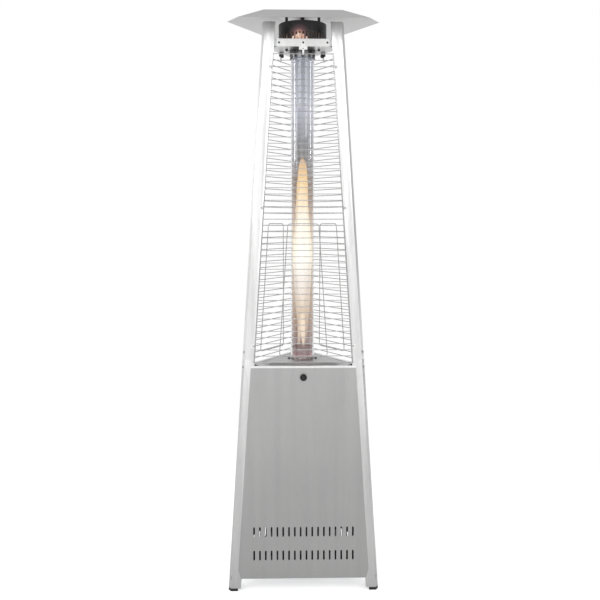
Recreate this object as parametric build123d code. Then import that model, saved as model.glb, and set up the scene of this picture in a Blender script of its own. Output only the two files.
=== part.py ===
from build123d import *
from math import atan, cos, degrees, pi, radians, sin, sqrt, tan
import os

os.makedirs("parts", exist_ok=True)

# Sizes that set the whole heater, in millimetres. The front faces -Y and the glass tube stands on
# the Z axis, with the floor at zero.
face_inradius = 184.0
bevel_width = 20.0
flange_width = 41.0
return_depth = 12.0
post_wall = 1.2
foot_height = 12.0
panel_bottom = 52.0
panel_wall = 1.0
panel_overlap = 15.0
tray_height = 62.0
deck_height = 935.0
tube_radius = 47.5
tube_wall = 3.0
tube_length = 1260.0
gasket_height = 2.0
gasket_width = 3.8
pan_depth = 30.0
sheet = 1.2
overrun = 5.0
seat = 0.1
gap = 0.3

# Heights, from the deck up to the reflector
deck_step = 8.0
panel_lap = 1.8
seam_rise = 20.0
tube_cover = 3.0
hood_height = 103.0
spacer_height = 38.0
reflector_depth = 53.0
post_cover = 8.0
deck_edge_height = deck_height - deck_step
panel_top = deck_edge_height + panel_lap
seam_height = deck_height + seam_rise
tube_low = deck_height + gasket_height
tube_top = tube_low + tube_length
pan_height = tube_top + tube_cover
hood_top = pan_height + hood_height
reflector_top = hood_top + spacer_height
rim_height = reflector_top - reflector_depth
post_top = rim_height + post_cover

# Widths at the top, from the tube out to the faces
collar_gap = 2.1
collar_wall = 1.4
screw_head = 4.0
collar_screw_gap = 0.4
collar_lip = 0.2
nut_radius = 6.0
rod_gap = 9.4
hood_room = 16.0
pan_margin = 4.94
collar_radius = tube_radius + collar_gap + collar_wall
collar_screw_reach = collar_radius + collar_screw_gap + screw_head
collar_flange = collar_screw_reach + screw_head + collar_lip
rod_reach = collar_flange + rod_gap + nut_radius
hood_radius = rod_reach + nut_radius + hood_room
pan_inradius = hood_radius + pan_margin
lean_share = (face_inradius - pan_inradius) / pan_height

full_turn = 360

corner_turns = {"rear": 0, "left": 120, "right": 240}
side_turns = {"front": 0, "right": 120, "left": 240}
lean = atan(lean_share)
corner_lean = atan(2 * lean_share)
face = Plane(origin=(0, -face_inradius, 0), x_dir=(1, 0, 0), z_dir=(0, -cos(lean), sin(lean)))
face_up = (0, lean_share, 1)
corner_up = (0, -2 * lean_share, 1)


def inradius(height):
    """Distance from the axis to a side face at a height."""
    return face_inradius - lean_share * height


def post_edge(height):
    """Half the free width between two posts on a side face."""
    return inradius(height) * sqrt(3) - bevel_width - flange_width


def slope(height):
    """Distance up the leaning face for a height above the floor."""
    return height / cos(lean)


def block(xs, ys, zs):
    """Box between two limits along each axis."""
    size = [high - low for low, high in (xs, ys, zs)]
    return Pos(xs[0], ys[0], zs[0]) * Box(*size, align=Align.MIN)


def rod(radius, start, end):
    """Round bar between two points."""
    start, end = Vector(*start), Vector(*end)
    bar = Cylinder(radius, (end - start).length, align=(Align.CENTER, Align.CENTER, Align.MIN))
    return Plane(origin=start, z_dir=end - start).location * bar


def ring(outer, inner, low, high):
    """Upright ring on the axis."""
    return rod(outer, (0, 0, low), (0, 0, high)) - rod(inner, (0, 0, low - overrun), (0, 0, high + overrun))


def turned(points):
    """Solid turned round the Z axis from points of radius and height."""
    return revolve(Plane.XZ * make_face(Polyline(*points, close=True)), Axis.Z)


def band(points, wall):
    """Outline of a bent sheet whose thickness lies to the right of its line."""
    line = [Vector(*point) for point in points]
    steps = [(b - a).normalized() for a, b in zip(line, line[1:])]
    normals = [Vector(step.Y, -step.X) for step in steps]
    inner = []
    for point, before, after in zip(line, normals[:1] + normals, normals + normals[-1:]):
        inner.append(point + (before + after) * (wall / (1 + before.dot(after))))
    return make_face(Polyline(*line, *reversed(inner), close=True))


def leaning(outline, height, rise, up):
    """A flat outline raised along a leaning line, so that its level cuts stay alike."""
    return extrude(Pos(0, 0, height) * outline, amount=rise * Vector(*up).length, dir=up)


def plate(points, low, high):
    """Level plate with the given outline."""
    return Pos(0, 0, low) * extrude(make_face(Polyline(*points, close=True)), high - low)


def cut_triangle(reach, corner):
    """Corners of a triangle with sides at one distance and its tips cut at another."""
    half = (2 * reach - corner) * tan(radians(30))
    points = []
    for turn in (330, 90, 210):
        out = Vector(cos(radians(turn)), sin(radians(turn)))
        across = Vector(-out.Y, out.X)
        points += [out * corner - across * half, out * corner + across * half]
    return points


def on_side(side, solid):
    """Place a solid made in the face's own frame on one of the three sides."""
    return Rot(0, 0, side_turns[side]) * (face.location * solid)


def on_corner(corner, solid):
    """Place a solid made at the rear corner on one of the three corners."""
    return Rot(0, 0, corner_turns[corner]) * solid


def around(reach, turn):
    """Plan point at a reach and a turn about the axis."""
    return Vector(reach * cos(radians(turn)), reach * sin(radians(turn)))


def pierced(radius, reach, height, count):
    """Short cutters for a row of round holes through an upright wall."""
    cutters = []
    for i in range(count):
        turn = i * full_turn / count
        inner, outer = around(reach - overrun / 2, turn), around(reach + overrun, turn)
        cutters.append(rod(radius, (inner.X, inner.Y, height), (outer.X, outer.Y, height)))
    return cutters


def all_round(solid):
    """The solid at its place and turned to the two other sides or corners."""
    return [Rot(0, 0, turn) * solid for turn in (0, 120, 240)]


def save(name, *pieces):
    """Write one sub-part, as one solid or as a group of separate solids."""
    solids = [solid for piece in pieces for solid in piece.solids()]
    export_step(solids[0] if len(solids) == 1 else Compound(solids), f"parts/{name}.step")
    return solids


def corner_line(height, inset, flange, hook):
    """Half the line of a bent post section at the rear corner, inset from the outer faces."""
    reach = inradius(height) - inset
    corner = 2 * inradius(height) - bevel_width * cos(radians(30)) - inset
    bevel_end = Vector((2 * reach - corner) * tan(radians(30)), corner)
    flange_end = bevel_end + Vector(sin(radians(30)), -cos(radians(30))) * flange
    hook_end = flange_end + Vector(-cos(radians(30)), -sin(radians(30))) * hook
    return bevel_end, flange_end, hook_end


def mirrored(points):
    return [Vector(-point.X, point.Y) for point in points]


# Bolts through the bevels: the base tray and both ends of each joining sleeve
bolt_radius = 3.0
bolt_head = 5.0
bolt_head_height = 3.0
bolt_nut_height = 4.0
bolt_clearance = 0.2
sleeve_wall = 2.0
sleeve_reach = 60.0
sleeve_short = 13.0
sleeve_flange = flange_width - sleeve_short
tray_flange = 20.0
bolt_heights = {"tray": tray_height - tray_flange / 2, "lower": seam_height - sleeve_reach / 2,
                "upper": seam_height + sleeve_reach / 2}
bolt_stack = {"tray": post_wall + seat + sheet, "lower": post_wall + seat + sleeve_wall,
              "upper": post_wall + seat + sleeve_wall}


def bevel_plane(height):
    """Plane on the rear corner's bevel, with its normal pointing out."""
    distance = 2 * inradius(height) - bevel_width * cos(radians(30))
    return Plane(origin=(0, distance, height), x_dir=(1, 0, 0), z_dir=(0, cos(corner_lean), sin(corner_lean)))


def bevel_hole(name):
    hole = rod(bolt_radius + bolt_clearance, (0, 0, -overrun * 2), (0, 0, overrun))
    return bevel_plane(bolt_heights[name]).location * hole


def bevel_bolt(name):
    """One bolt with its head outside the bevel and its nut inside."""
    inner = -bolt_stack[name] - seat
    bolt = rod(bolt_head, (0, 0, 0), (0, 0, bolt_head_height))
    bolt += rod(bolt_radius, (0, 0, inner - bolt_nut_height - 2 * seat), (0, 0, 0))
    nut = Pos(0, 0, inner - bolt_nut_height) * extrude(RegularPolygon(bolt_head, 6), bolt_nut_height)
    nut -= rod(bolt_radius + seat / 2, (0, 0, inner - bolt_nut_height - overrun), (0, 0, inner + overrun))
    place = bevel_plane(bolt_heights[name]).location
    return [place * bolt, place * nut]


# Holes in the post flanges, in the face's own frame
stud_radius = 2.0
stud_length = 9.0
stud_nut = 4.0
stud_nut_height = 3.2
stud_low_inset = 78.0
stud_high_inset = 128.8
stud_heights = (panel_bottom + stud_low_inset, panel_top - stud_high_inset)
stud_inset = panel_overlap / 2
wire_rise = 10.0
wire_head = 30.0
wire_pitch = 25.0
wire_radius = 1.6
wire_low = deck_height + wire_rise
wire_count = int((pan_height - wire_head - wire_low) / wire_pitch) + 1
wire_top = wire_low + (wire_count - 1) * wire_pitch
guard_screw_rise = 65.0
guard_screw_drop = 50.0
guard_screw_ends = (wire_low + guard_screw_rise, wire_top - guard_screw_drop)
guard_screw_heights = (guard_screw_ends[0], sum(guard_screw_ends) / 2, guard_screw_ends[1])
guard_rod = 2.25
guard_rod_inset = 2.0
guard_tab = 14.0
screw_radius = 2.0
screw_clearance = 0.2
screw_head_height = 2.4
hinge_low_inset = 113.0
hinge_high_inset = 148.8
hinge_heights = (panel_bottom + hinge_low_inset, panel_top - hinge_high_inset)
hinge_length = 60.0
knuckle_radius = 3.4
hinge_gap = 4.0
hinge_inset = panel_overlap + hinge_gap
leaf_width = 20.0
leaf_wall = 1.2
leaf_screw_share = 0.3


def face_hole(x, height, radius):
    """Hole square to the front face."""
    return rod(radius, (x, slope(height), -overrun), (x, slope(height), overrun))


def stud_x(height):
    return post_edge(height) + stud_inset


def guard_x(height):
    """Half the distance between a guard's two side rods."""
    return post_edge(height) + guard_rod_inset


def tab_x(height):
    return guard_x(height) + guard_tab / 2 + guard_rod / 2


def hinge_frame(height):
    """Frame of one hinge: Z down the pin, X away from the door, Y out of the face."""
    along = Vector(-sqrt(3) * lean_share * cos(lean), 1, 0)
    origin = (post_edge(height) + hinge_inset, slope(height), 0)
    return Plane(origin=origin, x_dir=Vector(along.Y, -along.X, 0), z_dir=along * -1)


leaf_screw_x = knuckle_radius + leaf_width / 2
leaf_screw_spots = [hinge_length * leaf_screw_share, -hinge_length * leaf_screw_share]


def hinge_holes(height, sign, radius):
    """Screw holes of one hinge leaf, on the post side or on the door side."""
    holes = []
    for spot in leaf_screw_spots:
        start, end = (sign * leaf_screw_x, overrun, spot), (sign * leaf_screw_x, -overrun, spot)
        holes.append(hinge_frame(height).location * rod(radius, start, end))
    return holes


def post_holes(corner, heights_low, heights_high):
    """Every hole of one post within a range of heights."""
    sides = {"left": [("front", -1), ("left", 1)], "right": [("front", 1), ("right", -1)],
             "rear": [("right", 1), ("left", -1)]}[corner]
    holes = []
    for side, sign in sides:
        if side != "right":
            for height in stud_heights:
                holes.append((height, on_side(side, face_hole(sign * stud_x(height), height,
                                                              stud_radius + screw_clearance))))
        for height in guard_screw_heights:
            holes.append((height, on_side(side, face_hole(sign * tab_x(height), height,
                                                          screw_radius + screw_clearance))))
        if side == "right" and sign > 0:
            for height in hinge_heights:
                holes += [(height, on_side(side, hole))
                          for hole in hinge_holes(height, 1, screw_radius + screw_clearance)]
    for name, height in bolt_heights.items():
        holes.append((height, on_corner(corner, bevel_hole(name))))
    return [hole for height, hole in holes if heights_low < height < heights_high]


def posts():
    """Lower and upper posts: one bent section with a bevelled corner and two hooked flanges."""
    for corner in corner_turns:
        for name, low, high in (("lower", foot_height, seam_height), ("upper", seam_height, post_top)):
            right = corner_line(low, 0, flange_width, return_depth)
            line = list(reversed(mirrored(right))) + list(right)
            post = leaning(band(line, post_wall), low, high - low, corner_up)
            post = on_corner(corner, post) - post_holes(corner, low, high)
            save(f"{name}_post_{corner}", post)


# Foot pads
foot_short = 12.0
foot_flange = flange_width - foot_short
foot_plug_height = 22.0


def foot_pads():
    """Moulded pads that fill the foot of each post and carry it."""
    pads = []
    levels = [(0, foot_flange, 0, foot_height),
              (post_wall + seat, foot_flange - 2 * post_wall, foot_height, foot_plug_height)]
    for inset, flange, low, rise in levels:
        bevel_end, flange_end, _ = corner_line(low, inset, flange, 0)
        points = [*mirrored([flange_end, bevel_end]), bevel_end, flange_end]
        pads.append(leaning(make_face(Polyline(*points, close=True)), low, rise, corner_up))
    save("foot_pads", *all_round(pads[0] + pads[1]))


def joining_sleeves():
    """Bent sleeves inside the posts that hold the upper post on the lower one."""
    low = seam_height - sleeve_reach
    bevel_end, flange_end, _ = corner_line(low, post_wall + seat, sleeve_flange, 0)
    line = [*mirrored([flange_end, bevel_end]), bevel_end, flange_end]
    sleeve = leaning(band(line, sleeve_wall), low, 2 * sleeve_reach, corner_up)
    sleeve -= [bevel_hole("lower"), bevel_hole("upper")]
    save("joining_sleeves", *all_round(sleeve))
    bolts = [piece for name in bolt_heights for piece in bevel_bolt(name)]
    save("post_bolts", *[turn for bolt in bolts for turn in all_round(bolt)])


# Shared shape of tray, deck and pan: a cut triangle with leaning flanges between the posts
def corner_reach(height, inset):
    """How far out a plate's cut corner may go before it meets a post's hooks."""
    line = Vector(post_edge(height), inradius(height) - post_wall - return_depth)
    return line.X * cos(radians(30)) + line.Y * sin(radians(30)) - inset


def side_flange(reach, corner, wall, height, rise):
    """One flange along the front edge of a cut triangle, leaning with the face."""
    half = (corner - reach * sin(radians(30))) / cos(radians(30))
    strip = make_face(Polyline((-half, -reach), (half, -reach), (half, -reach + wall), (-half, -reach + wall),
                               close=True))
    if rise > 0:
        return leaning(strip, height, rise, face_up)
    down = tuple(-part for part in face_up)
    return extrude(Pos(0, 0, height) * strip, amount=-rise * Vector(*face_up).length, dir=down)


tray_gap = 0.6
tray_corner_gap = 2.0
tray_tongue = 34.0
tray_lip = bevel_width - 2 * sheet - tray_gap
tray_skirt = 8.0
tray_taper = 16.0
tray_wall = 1.5
tray_vent = 55.0
tray_slot_length = 60.0
tray_slot_width = 12.0
tray_slot_reach = 85.0


def base_tray():
    """Pressed tray that carries the gas cylinder, bolted to the bevel of each post."""
    reach = inradius(tray_height) - post_wall - tray_gap
    corner = corner_reach(tray_height, tray_corner_gap)
    end = 2 * inradius(tray_height) - bevel_width * cos(radians(30)) - post_wall - seat
    tray = plate(cut_triangle(reach, corner), tray_height - tray_wall, tray_height)
    flange = side_flange(reach, corner, tray_wall, tray_height - tray_wall, -tray_skirt)
    wide, narrow = tray_tongue / 2, tray_lip / 2
    tongue = plate([(-wide, corner - overrun), (wide, corner - overrun), (wide, end - tray_taper),
                    (narrow, end), (-narrow, end), (-wide, end - tray_taper)],
                   tray_height - tray_wall, tray_height)
    lip = make_face(Polyline((-narrow, end), (narrow, end), (narrow, end - sheet), (-narrow, end - sheet),
                             close=True))
    down = tuple(-part for part in corner_up)
    lip = extrude(Pos(0, 0, tray_height) * lip, amount=tray_flange * Vector(*corner_up).length, dir=down)
    slot = Pos(0, tray_slot_reach, tray_height - overrun) * extrude(
        SlotOverall(tray_slot_length, tray_slot_width), 2 * overrun)
    tray += all_round(flange) + all_round(tongue) + all_round(lip)
    tray -= [rod(tray_vent, (0, 0, tray_height - overrun), (0, 0, tray_height + overrun))]
    tray -= all_round(slot) + all_round(bevel_hole("tray"))
    save("base_tray", tray)


# Side panels
vent_pitch = 23.8
vent_width = 7.0
vent_length = 40.0
vent_margin = 36.0
vent_rise = 97.0
vent_row_pitch = 98.0
vent_heights = (panel_bottom + vent_rise, panel_bottom + vent_rise + vent_row_pitch)
vent_count = int(2 * (post_edge(vent_heights[-1]) - vent_margin) / vent_pitch) + 1
panel_clip_width = 12.0
panel_clip_height = 35.0
lip_depth = 14.0
lip_gap = 2.0
knob_drop = 52.0
knob_height = deck_height - knob_drop
knob_hole = 7.0


def panel_half(height):
    return post_edge(height) + panel_overlap


def panel(base):
    """Flat panel in the face's own frame, with clipped lower corners, vents and a top lip."""
    low, clip, top = slope(panel_bottom), slope(panel_bottom + panel_clip_height), slope(panel_top)
    widths = [panel_half(panel_bottom) - panel_clip_width, panel_half(panel_bottom + panel_clip_height),
              panel_half(panel_top)]
    right = list(zip(widths, (low, clip, top)))
    outline = make_face(Polyline(*right, *[(-x, y) for x, y in reversed(right)], close=True))
    sheet_metal = Pos(0, 0, base) * extrude(outline, panel_wall)
    slot = Pos(0, 0, base - overrun) * extrude(
        SlotOverall(vent_length, vent_width, rotation=90), panel_wall + 2 * overrun)
    first = -(vent_count - 1) / 2 * vent_pitch
    sheet_metal -= [Pos(first + i * vent_pitch, slope(height), 0) * slot
                    for i in range(vent_count) for height in vent_heights]
    half = post_edge(panel_top) - lip_gap
    return sheet_metal + block((-half, half), (top - panel_wall, top), (base - lip_depth, base))


def fixed_panels():
    """Front and left panels, each on four welded studs with nuts behind the post flanges."""
    nuts = []
    for side in ("front", "left"):
        sheet_metal = panel(0)
        if side == "front":
            sheet_metal -= [face_hole(0, knob_height, knob_hole)]
        for height in stud_heights:
            for sign in (-1, 1):
                x, y = sign * stud_x(height), slope(height)
                sheet_metal += rod(stud_radius, (x, y, -stud_length), (x, y, panel_wall / 2))
                top = -post_wall
                nut = Pos(x, y, top - stud_nut_height) * extrude(RegularPolygon(stud_nut, 6), stud_nut_height)
                hole = rod(stud_radius + seat / 2, (x, y, -stud_length - overrun), (x, y, 0))
                nuts.append(on_side(side, nut - hole))
        save(f"{side}_panel", on_side(side, sheet_metal))
    save("panel_nuts", *nuts)


# Door, on the side to the right of the front, with its hinges on the rear post
pin_radius = 1.6
pin_fit = 0.05
pin_head = 2.6
knuckle_gap = 0.3
pull_drop = 448.8
pull_height = panel_top - pull_drop
pull_inset = 32.0
pull_neck = 4.0
pull_neck_length = 8.0
pull_radius = 10.0
pull_length = 10.0
strike_width = 14.0
strike_length = 40.0
strike_wall = 1.2
magnet_width = 14.0
magnet_depth = 12.0
magnet_length = 40.0


def door_and_hinges():
    """Door panel, two three-knuckle hinges, the pull, and the magnet catch."""
    door = panel(gap)
    for height in hinge_heights:
        door -= hinge_holes(height, -1, screw_radius + screw_clearance)
    pull_x, pull_y = -(panel_half(pull_height) - pull_inset), slope(pull_height)
    door -= [face_hole(pull_x, pull_height, pull_neck)]
    save("door", on_side("right", door))
    # the strike lies on the inner face, the magnet on the post's hook behind it
    edge = post_edge(pull_height + strike_length / 2) - lip_gap
    rows = (pull_y - strike_length / 2, pull_y + strike_length / 2)
    strike = block((-edge, -edge + strike_width), rows, (gap - strike_wall, gap))
    save("door_strike", on_side("right", strike))
    high = slope(pull_height + magnet_length / 2)
    low_x = post_edge(pull_height - magnet_length / 2)
    face_z = gap - strike_wall - gap
    high_x = post_edge(pull_height + magnet_length / 2)
    rows = (high - magnet_length, high)
    magnet = block((-low_x, -high_x + magnet_width), rows, (face_z - magnet_depth, face_z))
    wedge = Plane(origin=(0, 0, face_z - magnet_depth - overrun)) * make_face(Polyline(
        (-low_x - overrun, rows[0]), (-low_x + seat, rows[0]), (-high_x + seat, rows[1]),
        (-low_x - overrun, rows[1]), close=True))
    magnet -= extrude(wedge, magnet_depth + 2 * overrun)
    save("door_magnet", on_side("right", magnet))
    base = gap + panel_wall
    neck_end = base + pull_neck_length
    pull = rod(pull_neck, (pull_x, pull_y, gap), (pull_x, pull_y, neck_end))
    pull += rod(pull_neck * 2, (pull_x, pull_y, base), (pull_x, pull_y, base + panel_wall))
    pull += rod(pull_radius, (pull_x, pull_y, neck_end), (pull_x, pull_y, neck_end + pull_length))
    save("door_pull", on_side("right", pull))
    post_leaves, door_leaves, pins = [], [], []
    third = hinge_length / 3
    centre = knuckle_radius + seat
    for height in hinge_heights:
        place = hinge_frame(height).location
        bore = rod(pin_radius + pin_fit, (0, centre, -hinge_length), (0, centre, hinge_length))
        half = hinge_length / 2
        post_leaf = block((knuckle_radius + seat, knuckle_radius + leaf_width), (0, leaf_wall), (-half, half))
        for low, top in ((-half, -third / 2 - knuckle_gap), (third / 2 + knuckle_gap, half)):
            post_leaf += rod(knuckle_radius, (0, centre, low), (0, centre, top))
            post_leaf += block((0, knuckle_radius + leaf_wall), (seat, leaf_wall), (low, top))
        door_leaf = block((-knuckle_radius - leaf_width, -knuckle_radius - seat), (base, base + leaf_wall),
                          (-half, half))
        door_leaf += rod(knuckle_radius, (0, centre, -third / 2), (0, centre, third / 2))
        web = (-knuckle_radius - leaf_wall, 0)
        door_leaf += block(web, (base, base + leaf_wall), (-third / 2, third / 2))
        pin = rod(pin_radius, (0, centre, -half), (0, centre, half))
        pin += rod(pin_head, (0, centre, -half - pin_radius), (0, centre, -half))
        post_leaf -= [bore]
        door_leaf -= [bore]
        for spot in leaf_screw_spots:
            for sign, top, foot in ((1, leaf_wall, -overrun), (-1, base + leaf_wall, gap)):
                x = sign * leaf_screw_x
                cut = rod(screw_radius + screw_clearance, (x, -overrun, spot), (x, 2 * overrun, spot))
                screw = rod(screw_head, (x, top, spot), (x, top + screw_head_height / 2, spot))
                screw += rod(screw_radius, (x, foot, spot), (x, top, spot))
                if sign > 0:
                    post_leaf -= [cut]
                    post_leaf += screw
                else:
                    door_leaf -= [cut]
                    door_leaf += screw
        post_leaves.append(on_side("right", place * post_leaf))
        door_leaves.append(on_side("right", place * door_leaf))
        pins.append(on_side("right", place * pin))
    save("hinge_leaves_post", *post_leaves)
    save("hinge_leaves_door", *door_leaves)
    save("hinge_pins", *pins)
    spots = [(Rot(0, 0, side_turns["right"]) * face.location
              * (hinge_frame(height).location * Pos(0, centre, 0))).position for height in hinge_heights]
    print("door hinge", spots[0], (spots[1] - spots[0]).normalized())


# Deck
deck_inset = 2.4
deck_corner_gap = 20.0
deck_flange = 22.0
deck_screw_head = 5.5
deck_screw_height = 4.5
deck_screw_gap = 3.0
deck_screw_reach = tube_radius + deck_screw_gap + deck_screw_head
burner_plate_margin = 10.0
burner_plate_radius = deck_screw_reach + burner_plate_margin
plateau_margin = 35.0
plateau_run = 11.0
plateau_tip = 61.0
plateau_top = burner_plate_radius + plateau_margin
plateau_foot = plateau_top + plateau_run
plateau_corner = plateau_top + plateau_tip
deck_hole_gap = 0.7
deck_hole = tube_radius - gasket_width - deck_hole_gap


def deck():
    """Pressed deck with a raised middle, hung from the posts on angle brackets."""
    reach = inradius(deck_edge_height) - deck_inset
    corner = corner_reach(deck_edge_height, deck_corner_gap)
    low = deck_edge_height - sheet
    body = plate(cut_triangle(reach, corner), low, deck_edge_height)
    body += all_round(side_flange(reach, corner, sheet, low, -deck_flange))
    step = (plateau_foot - plateau_top) * 2
    shapes = []
    for drop, grow in ((0, 0), (-sheet, sheet / 2)):
        shapes.append(loft([
            Pos(0, 0, deck_edge_height + drop) * make_face(Polyline(
                *cut_triangle(plateau_foot - grow, plateau_corner + step - 2 * grow), close=True)),
            Pos(0, 0, deck_height + drop) * make_face(Polyline(
                *cut_triangle(plateau_top - grow, plateau_corner - 2 * grow), close=True))], ruled=True))
    under = plate(cut_triangle(plateau_foot - sheet / 2, plateau_corner + step - sheet),
                  low - overrun, low + seat)
    body = body + shapes[0] - shapes[1] - under
    body -= [rod(deck_hole, (0, 0, low - overrun), (0, 0, deck_height + overrun))]
    for sign in (-1, 1):
        x = sign * deck_screw_reach
        body -= [rod(screw_radius + screw_clearance, (x, 0, low - overrun), (x, 0, deck_height + overrun))]
    save("deck", body)
    screws = []
    for sign in (-1, 1):
        x = sign * deck_screw_reach
        screw = rod(deck_screw_head, (x, 0, deck_height), (x, 0, deck_height + deck_screw_height))
        screw += rod(screw_radius, (x, 0, deck_height - sheet - 2 * tray_wall - overrun), (x, 0, deck_height))
        screws.append(screw)
    save("deck_screws", *screws)


# Angle brackets that hang deck and pan on the hooks of the posts
bracket_wall = 1.5
deck_bracket_reach = 46.0
pan_bracket_reach = 18.0
pan_inset = 2.0
pan_corner_gap = 1.5


def angle_brackets():
    along = Vector(sin(radians(30)), -cos(radians(30)))
    inward = Vector(-cos(radians(30)), -sin(radians(30)))
    brackets = []
    for low, rise, depth, reach in (
            (deck_edge_height - deck_flange, deck_flange - sheet - gap, deck_inset + sheet, deck_bracket_reach),
            (pan_height + sheet + seat, pan_depth - 2 * sheet, pan_inset + sheet, pan_bracket_reach)):
        _, edge, _ = corner_line(low, 0, flange_width, 0)
        start = edge + along * seat + inward * (depth + seat)
        tip = edge + along * seat + inward * (return_depth + post_wall)
        line = [tip, start, start + along * reach]
        half = leaning(band(line, bracket_wall), low, rise, corner_up)
        other = leaning(band(list(reversed(mirrored(line))), bracket_wall), low, rise, corner_up)
        brackets += all_round(half) + all_round(other)
    holes = [on_side(side, pan_screw_hole(sign * pan_screw_x())) for side in side_turns for sign in (-1, 1)]
    save("angle_brackets", *[bracket - holes for bracket in brackets])


# Burner
plate_low = deck_height - sheet - tray_wall
mixing_radius = 12.0
mixing_wall = 2.0
mixing_drop = 82.0
mixing_rise = 7.0
mixing_low = deck_height - mixing_drop
mixing_top = deck_height + mixing_rise
air_window = 10.0
air_window_height = 18.0
shroud_gap = 2.0
shroud_radius = deck_hole - shroud_gap
shroud_wall = 1.0
shroud_height = 55.0
shroud_top = deck_height + shroud_height
shroud_bead = 1.4
bead_height = 3.0
bead_rises = (14.0, 26.5, 47.0)
port_rise = 22.0
port_height = deck_height + port_rise
port_radius = 2.0
port_count = 24
head_foot_wall = 3.0
head_foot = mixing_radius + head_foot_wall
head_room = 15.0
head_radius = shroud_radius - head_room
head_lift = 11.0
head_height = 20.0
head_low = deck_height + head_lift
head_top = head_low + head_height
head_wall = 1.5
pilot_radius = 3.5
pilot_gap = 4.0
pilot_reach = head_radius + pilot_radius + pilot_gap
pilot_rise = 27.0
pilot_top = deck_height + pilot_rise
pilot_turn = 90
pilot_spread = 18
electrode_radius = 1.2
ceramic_radius = 2.6
ceramic_rise = 13.0
ceramic_top = deck_height + ceramic_rise
probe_radius = 2.0
jet_holder_size = 24.0
jet_holder_height = 24.0
jet_radius = 4.0
jet_length = 14.0
jet_bore = 0.8
air_hole = 5.0
air_count = 8
pilot_spot = around(pilot_reach, pilot_turn)
probe_spot = around(pilot_reach, pilot_turn + pilot_spread)
igniter_spot = around(pilot_reach, pilot_turn - pilot_spread)


def upright(radius, spot, low, high):
    return rod(radius, (spot.X, spot.Y, low), (spot.X, spot.Y, high))


def burner():
    """Burner plate under the deck with the shroud, head, mixing tube and jet."""
    top = plate_low + tray_wall
    disc = ring(burner_plate_radius, mixing_radius + seat, plate_low, top)
    holes = [upright(pilot_radius + seat, pilot_spot, plate_low - overrun, top + overrun),
             upright(probe_radius + seat, probe_spot, plate_low - overrun, top + overrun),
             upright(ceramic_radius + seat, igniter_spot, plate_low - overrun, top + overrun)]
    for i in range(1, air_count):
        spot = around(pilot_reach, pilot_turn + i * full_turn / air_count)
        holes.append(upright(air_hole, spot, plate_low - overrun, top + overrun))
    for sign in (-1, 1):
        holes.append(upright(screw_radius + screw_clearance, Vector(sign * deck_screw_reach, 0),
                             plate_low - overrun, top + overrun))
    save("burner_plate", disc - holes)

    shroud = ring(shroud_radius, shroud_radius - shroud_wall, top, shroud_top)
    for rise in bead_rises:
        middle = deck_height + rise
        shroud += ring(shroud_radius + shroud_bead, shroud_radius - shroud_wall / 2,
                       middle - bead_height / 2, middle + bead_height / 2)
    save("burner_shroud", shroud - pierced(port_radius, shroud_radius, port_height, port_count))

    inner = mixing_radius + seat
    outline = [(inner, top), (head_foot, top), (head_foot, head_low - head_wall), (head_radius, head_low),
               (head_radius, head_top - head_wall), (head_radius - head_wall, head_top), (0, head_top),
               (0, head_top - head_wall), (head_radius - head_wall, head_top - 2 * head_wall),
               (head_radius - head_wall, head_low + head_wall), (inner, head_low + head_wall)]
    head = turned(outline)
    save("burner_head", head - pierced(port_radius, head_radius, (head_low + head_top) / 2, port_count))

    flange = ring(head_foot + overrun, mixing_radius - mixing_wall, plate_low - mixing_wall, plate_low)
    tube = ring(mixing_radius, mixing_radius - mixing_wall, mixing_low, mixing_top) + flange
    middle = mixing_low + mixing_wall + air_window_height
    for turn in (0, 90):
        window = block((-2 * mixing_radius, 2 * mixing_radius), (-air_window / 2, air_window / 2),
                       (middle - air_window_height / 2, middle + air_window_height / 2))
        tube -= Rot(0, 0, turn) * window
    save("mixing_tube", tube)

    half = jet_holder_size / 2
    holder = block((-half, half), (-half, half), (mixing_low - jet_holder_height, mixing_low))
    holder += rod(jet_radius, (0, 0, mixing_low), (0, 0, mixing_low + jet_length))
    inlet = mixing_low - jet_holder_height / 2
    holder -= rod(pipe_radius + seat, (0, -half - overrun, inlet), (0, 0, inlet))
    holder -= rod(jet_bore, (0, 0, inlet), (0, 0, mixing_low + 2 * jet_length))
    save("jet_holder", holder)


# Gas valve behind the front panel, in the face's own frame
valve_front = -12.0
valve_back = -58.0
valve_half = 17.0
plug_radius = 8.0
plug_front = -15.0
plug_back = -46.0
run_fit = 0.05
stem_radius = 3.0
stem_back = -38.0
knob_travel = 5.0
knob_gap = 2.5
knob_rest = knob_travel + knob_gap
knob_skirt = 14.0
knob_notches = 12
skirt_height = 4.0
grip_radius = 8.5
grip_height = 12.0
sleeve_radius = 5.5
sleeve_back = -4.0
stem_front = 14.0
fitting_radius = 6.5
fitting_length = 12.0
pipe_radius = 4.0
thin_pipe = 2.0
lead_radius = 1.4
lead_run = 10.0
lead_pass = 26.0
valve_bracket_half = 30.0
valve_bracket_drop = 28.0
valve_bracket_depth = 24.0
side_port = -40.0
thin_port = 3.5
thin_port_length = 8.0
lead_port_rise = 9.0
lead_port_x = 9.0
switch_height = 24.0


def valve_point(x, y, z):
    """A point given from the knob's middle in the front face's frame, in the heater's frame."""
    return (face.location * Pos(x, slope(knob_height) + y, z)).position


def at_valve(solid):
    return face.location * (Pos(0, slope(knob_height), 0) * solid)


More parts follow.
